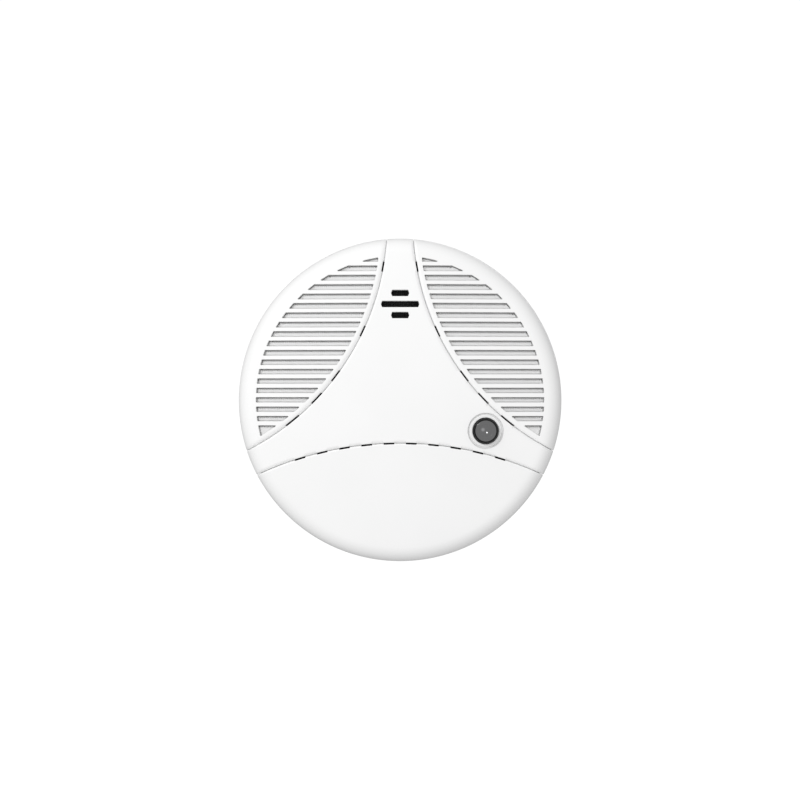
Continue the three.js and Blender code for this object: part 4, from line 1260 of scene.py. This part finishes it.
M["plated_steel"] = metal("plated_steel", (0.66, 0.67, 0.69), 0.3)
M["sensor_steel"] = metal("sensor_steel", (0.72, 0.72, 0.73), 0.34)
M["sounder_brass"] = metal("sounder_brass", (0.78, 0.60, 0.28), 0.32)
M["capacitor_can"] = metal("capacitor_can", (0.16, 0.17, 0.20), 0.36)
M["battery_sleeve"] = moulded("battery_sleeve", (0.10, 0.20, 0.45), 0.3, 3000, 0.00001, 0.9)
M["foam_gasket"] = moulded("foam_gasket", (0.03, 0.03, 0.03), 0.9, 2500, 0.0001, 0.7, 0.2)
M["filter_felt"] = moulded("filter_felt", (0.84, 0.84, 0.82), 0.95, 3500, 0.00008, 0.9, 0.1)
m = Mat("led_epoxy", (0.75, 0.88, 0.75), 0.08, spec=0.5)
m.set("Transmission Weight", 0.6)
m.set("IOR", 1.5)
m.vary_rough(m.noise(900, 2), 0.05, 0.12)
M["led_epoxy"] = m.m


def board():
    m = Mat("pcb_laminate", (0.02, 0.12, 0.05), 0.35, spec=0.5, coat=0.25, coat_rough=0.15)
    v = m.node("ShaderNodeTexVoronoi", feature="DISTANCE_TO_EDGE")
    v.inputs["Scale"].default_value = 240.0
    v.inputs["Randomness"].default_value = 0.35
    m.link(m.coord.outputs["Object"], v.inputs["Vector"])
    m.vary_color(v.outputs["Distance"], (0.035, 0.2, 0.08), (0.015, 0.10, 0.04), 0.03, 0.08)
    m.bump(v.outputs["Distance"], 0.00003)
    m.vary_rough(m.noise(700, 2), 0.28, 0.42)
    return m.m


M["pcb_laminate"] = board()


def paint(ob, key):
    ob.data.materials.clear()
    ob.data.materials.append(M[key])


slot_of = {p["node"]: p["material_slot"] for p in frame["record"]["subparts"]}
for n, o in NODES.items():
    key = slot_of[n]
    if o.data.materials:
        for i in range(len(o.data.materials)):
            o.data.materials[i] = M[key]
    else:
        o.data.materials.append(M[key])


def finish_piece(ob, body, mat_key, slot, *nodes):
    paint(ob, mat_key)
    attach(ob, body)
    if nodes:
        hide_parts(*nodes)


finish_piece(cover_ob, "detector_head", "cover_plastic", "cover_plastic", "front_cover")
finish_piece(fascia_ob, "detector_head", "fascia_plastic", "cover_plastic", "centre_fascia")
finish_piece(baffles["left"], "detector_head", "baffle_plastic", "baffle_plastic", "left_baffle")
finish_piece(baffles["right"], "detector_head", "baffle_plastic", "baffle_plastic", "right_baffle")
finish_piece(housing_ob, "detector_head", "base_plastic", "base_plastic", "rear_housing")
finish_piece(door_ob, "detector_head", "base_plastic", "base_plastic", "battery_door")
finish_piece(base_ob, "mounting_base", "base_plastic", "base_plastic", "mounting_base")
finish_piece(button_ob, "test_button", "smoked_lens", "smoked_lens", "test_button")
finish_piece(lens_ob, "test_button", "smoked_window", "smoked_lens")
finish_piece(glow_bead_ob, "test_button", "painted_glow", "led_epoxy")
for node, ob in INNER.items():
    body = {"tact_plunger": "test_button", "tamper_plunger": "tamper_plunger"}.get(node, "detector_head")
    finish_piece(ob, body, slot_of[node], slot_of[node], node)
finish_piece(cap_ob, "detector_head", "plated_steel", "plated_steel")

# ------------------------------------------------------------------ stage, light and camera
for o in list(bpy.context.scene.objects):
    if o.type in ("LIGHT", "CAMERA") or (o.type == "MESH" and o.name == "Cube"):
        bpy.data.objects.remove(o)

me = bpy.data.meshes.new("floor")
n = 96
vs = [(0, 0, 0)] + [(3.0 * math.cos(2 * math.pi * i / n), 3.0 * math.sin(2 * math.pi * i / n), 0) for i in range(n)]
me.from_pydata(vs, [], [(0, 1 + i, 1 + (i + 1) % n) for i in range(n)])
floor = bpy.data.objects.new("floor", me)
bpy.context.scene.collection.objects.link(floor)
floor.location = (0, 0, -0.40)
fm_ = bpy.data.materials.new("floor")
fm_.use_nodes = True
fb = fm_.node_tree.nodes["Principled BSDF"]
fb.inputs["Base Color"].default_value = (0.96, 0.96, 0.96, 1)
fb.inputs["Roughness"].default_value = 0.9
fb.inputs["Emission Color"].default_value = (1, 1, 1, 1)
fb.inputs["Emission Strength"].default_value = 0.5
me.materials.append(fm_)
floor.visible_diffuse = floor.visible_glossy = floor.visible_transmission = False
floor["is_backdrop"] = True

world = bpy.data.worlds.new("studio")
bpy.context.scene.world = world
world.use_nodes = True
wt = world.node_tree
wt.nodes.clear()
bg_light, bg_seen = wt.nodes.new("ShaderNodeBackground"), wt.nodes.new("ShaderNodeBackground")
# The studio is brighter in front of the object than behind it.
wc = wt.nodes.new("ShaderNodeTexCoord")
wsep = wt.nodes.new("ShaderNodeSeparateXYZ")
wt.links.new(wc.outputs["Generated"], wsep.inputs[0])
wr = wt.nodes.new("ShaderNodeMapRange")
wr.inputs["From Min"].default_value, wr.inputs["From Max"].default_value = -1.0, 1.0
wr.inputs["To Min"].default_value, wr.inputs["To Max"].default_value = 0.93, 0.18
wt.links.new(wsep.outputs["Y"], wr.inputs["Value"])
wt.links.new(wr.outputs["Result"], bg_light.inputs[1])
bg_light.inputs[0].default_value = (1, 1, 1, 1)
bg_seen.inputs[0].default_value = (1, 1, 1, 1)
bg_seen.inputs[1].default_value = 1.05
path = wt.nodes.new("ShaderNodeLightPath")
mixw = wt.nodes.new("ShaderNodeMixShader")
outw = wt.nodes.new("ShaderNodeOutputWorld")
wt.links.new(path.outputs["Is Camera Ray"], mixw.inputs[0])
wt.links.new(bg_light.outputs[0], mixw.inputs[1])
wt.links.new(bg_seen.outputs[0], mixw.inputs[2])
wt.links.new(mixw.outputs[0], outw.inputs[0])


def area(name, loc, target, size, power):
    li = bpy.data.lights.new(name, "AREA")
    li.shape = "DISK"
    li.size = size
    li.energy = power
    ob = bpy.data.objects.new(name, li)
    bpy.context.scene.collection.objects.link(ob)
    ob.location = loc
    d = Vector(target) - Vector(loc)
    ob.rotation_mode = "QUATERNION"
    ob.rotation_quaternion = d.to_track_quat("-Z", "Y")
    return ob


key_dir = Vector((-0.50, -0.72, 0.46)).normalized()
area("key", key_dir * 1.2, (0, 0, 0), 0.38, 4.9)
area("back_fill", Vector((0.6, 1.5, 0.7)), (0, 0, 0), 1.2, 3.5)

cam = bpy.data.cameras.new("camera")
cam.lens, cam.sensor_width = 85.0, 36.0
cam.clip_start, cam.clip_end = 0.01, 50.0
cam_ob = bpy.data.objects.new("camera", cam)
bpy.context.scene.collection.objects.link(cam_ob)
cam_ob.location = (-0.00005, -0.7606, 0.00002)
cam_ob.rotation_euler = (math.radians(90), 0, 0)
bpy.context.scene.camera = cam_ob
bpy.context.scene.view_settings.view_transform = "Standard"
bpy.context.scene.view_settings.look = "None"
bpy.context.scene.view_settings.exposure = 0.0
bpy.context.scene.view_settings.gamma = 1.0
bpy.context.view_layer.update()

lo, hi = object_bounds()
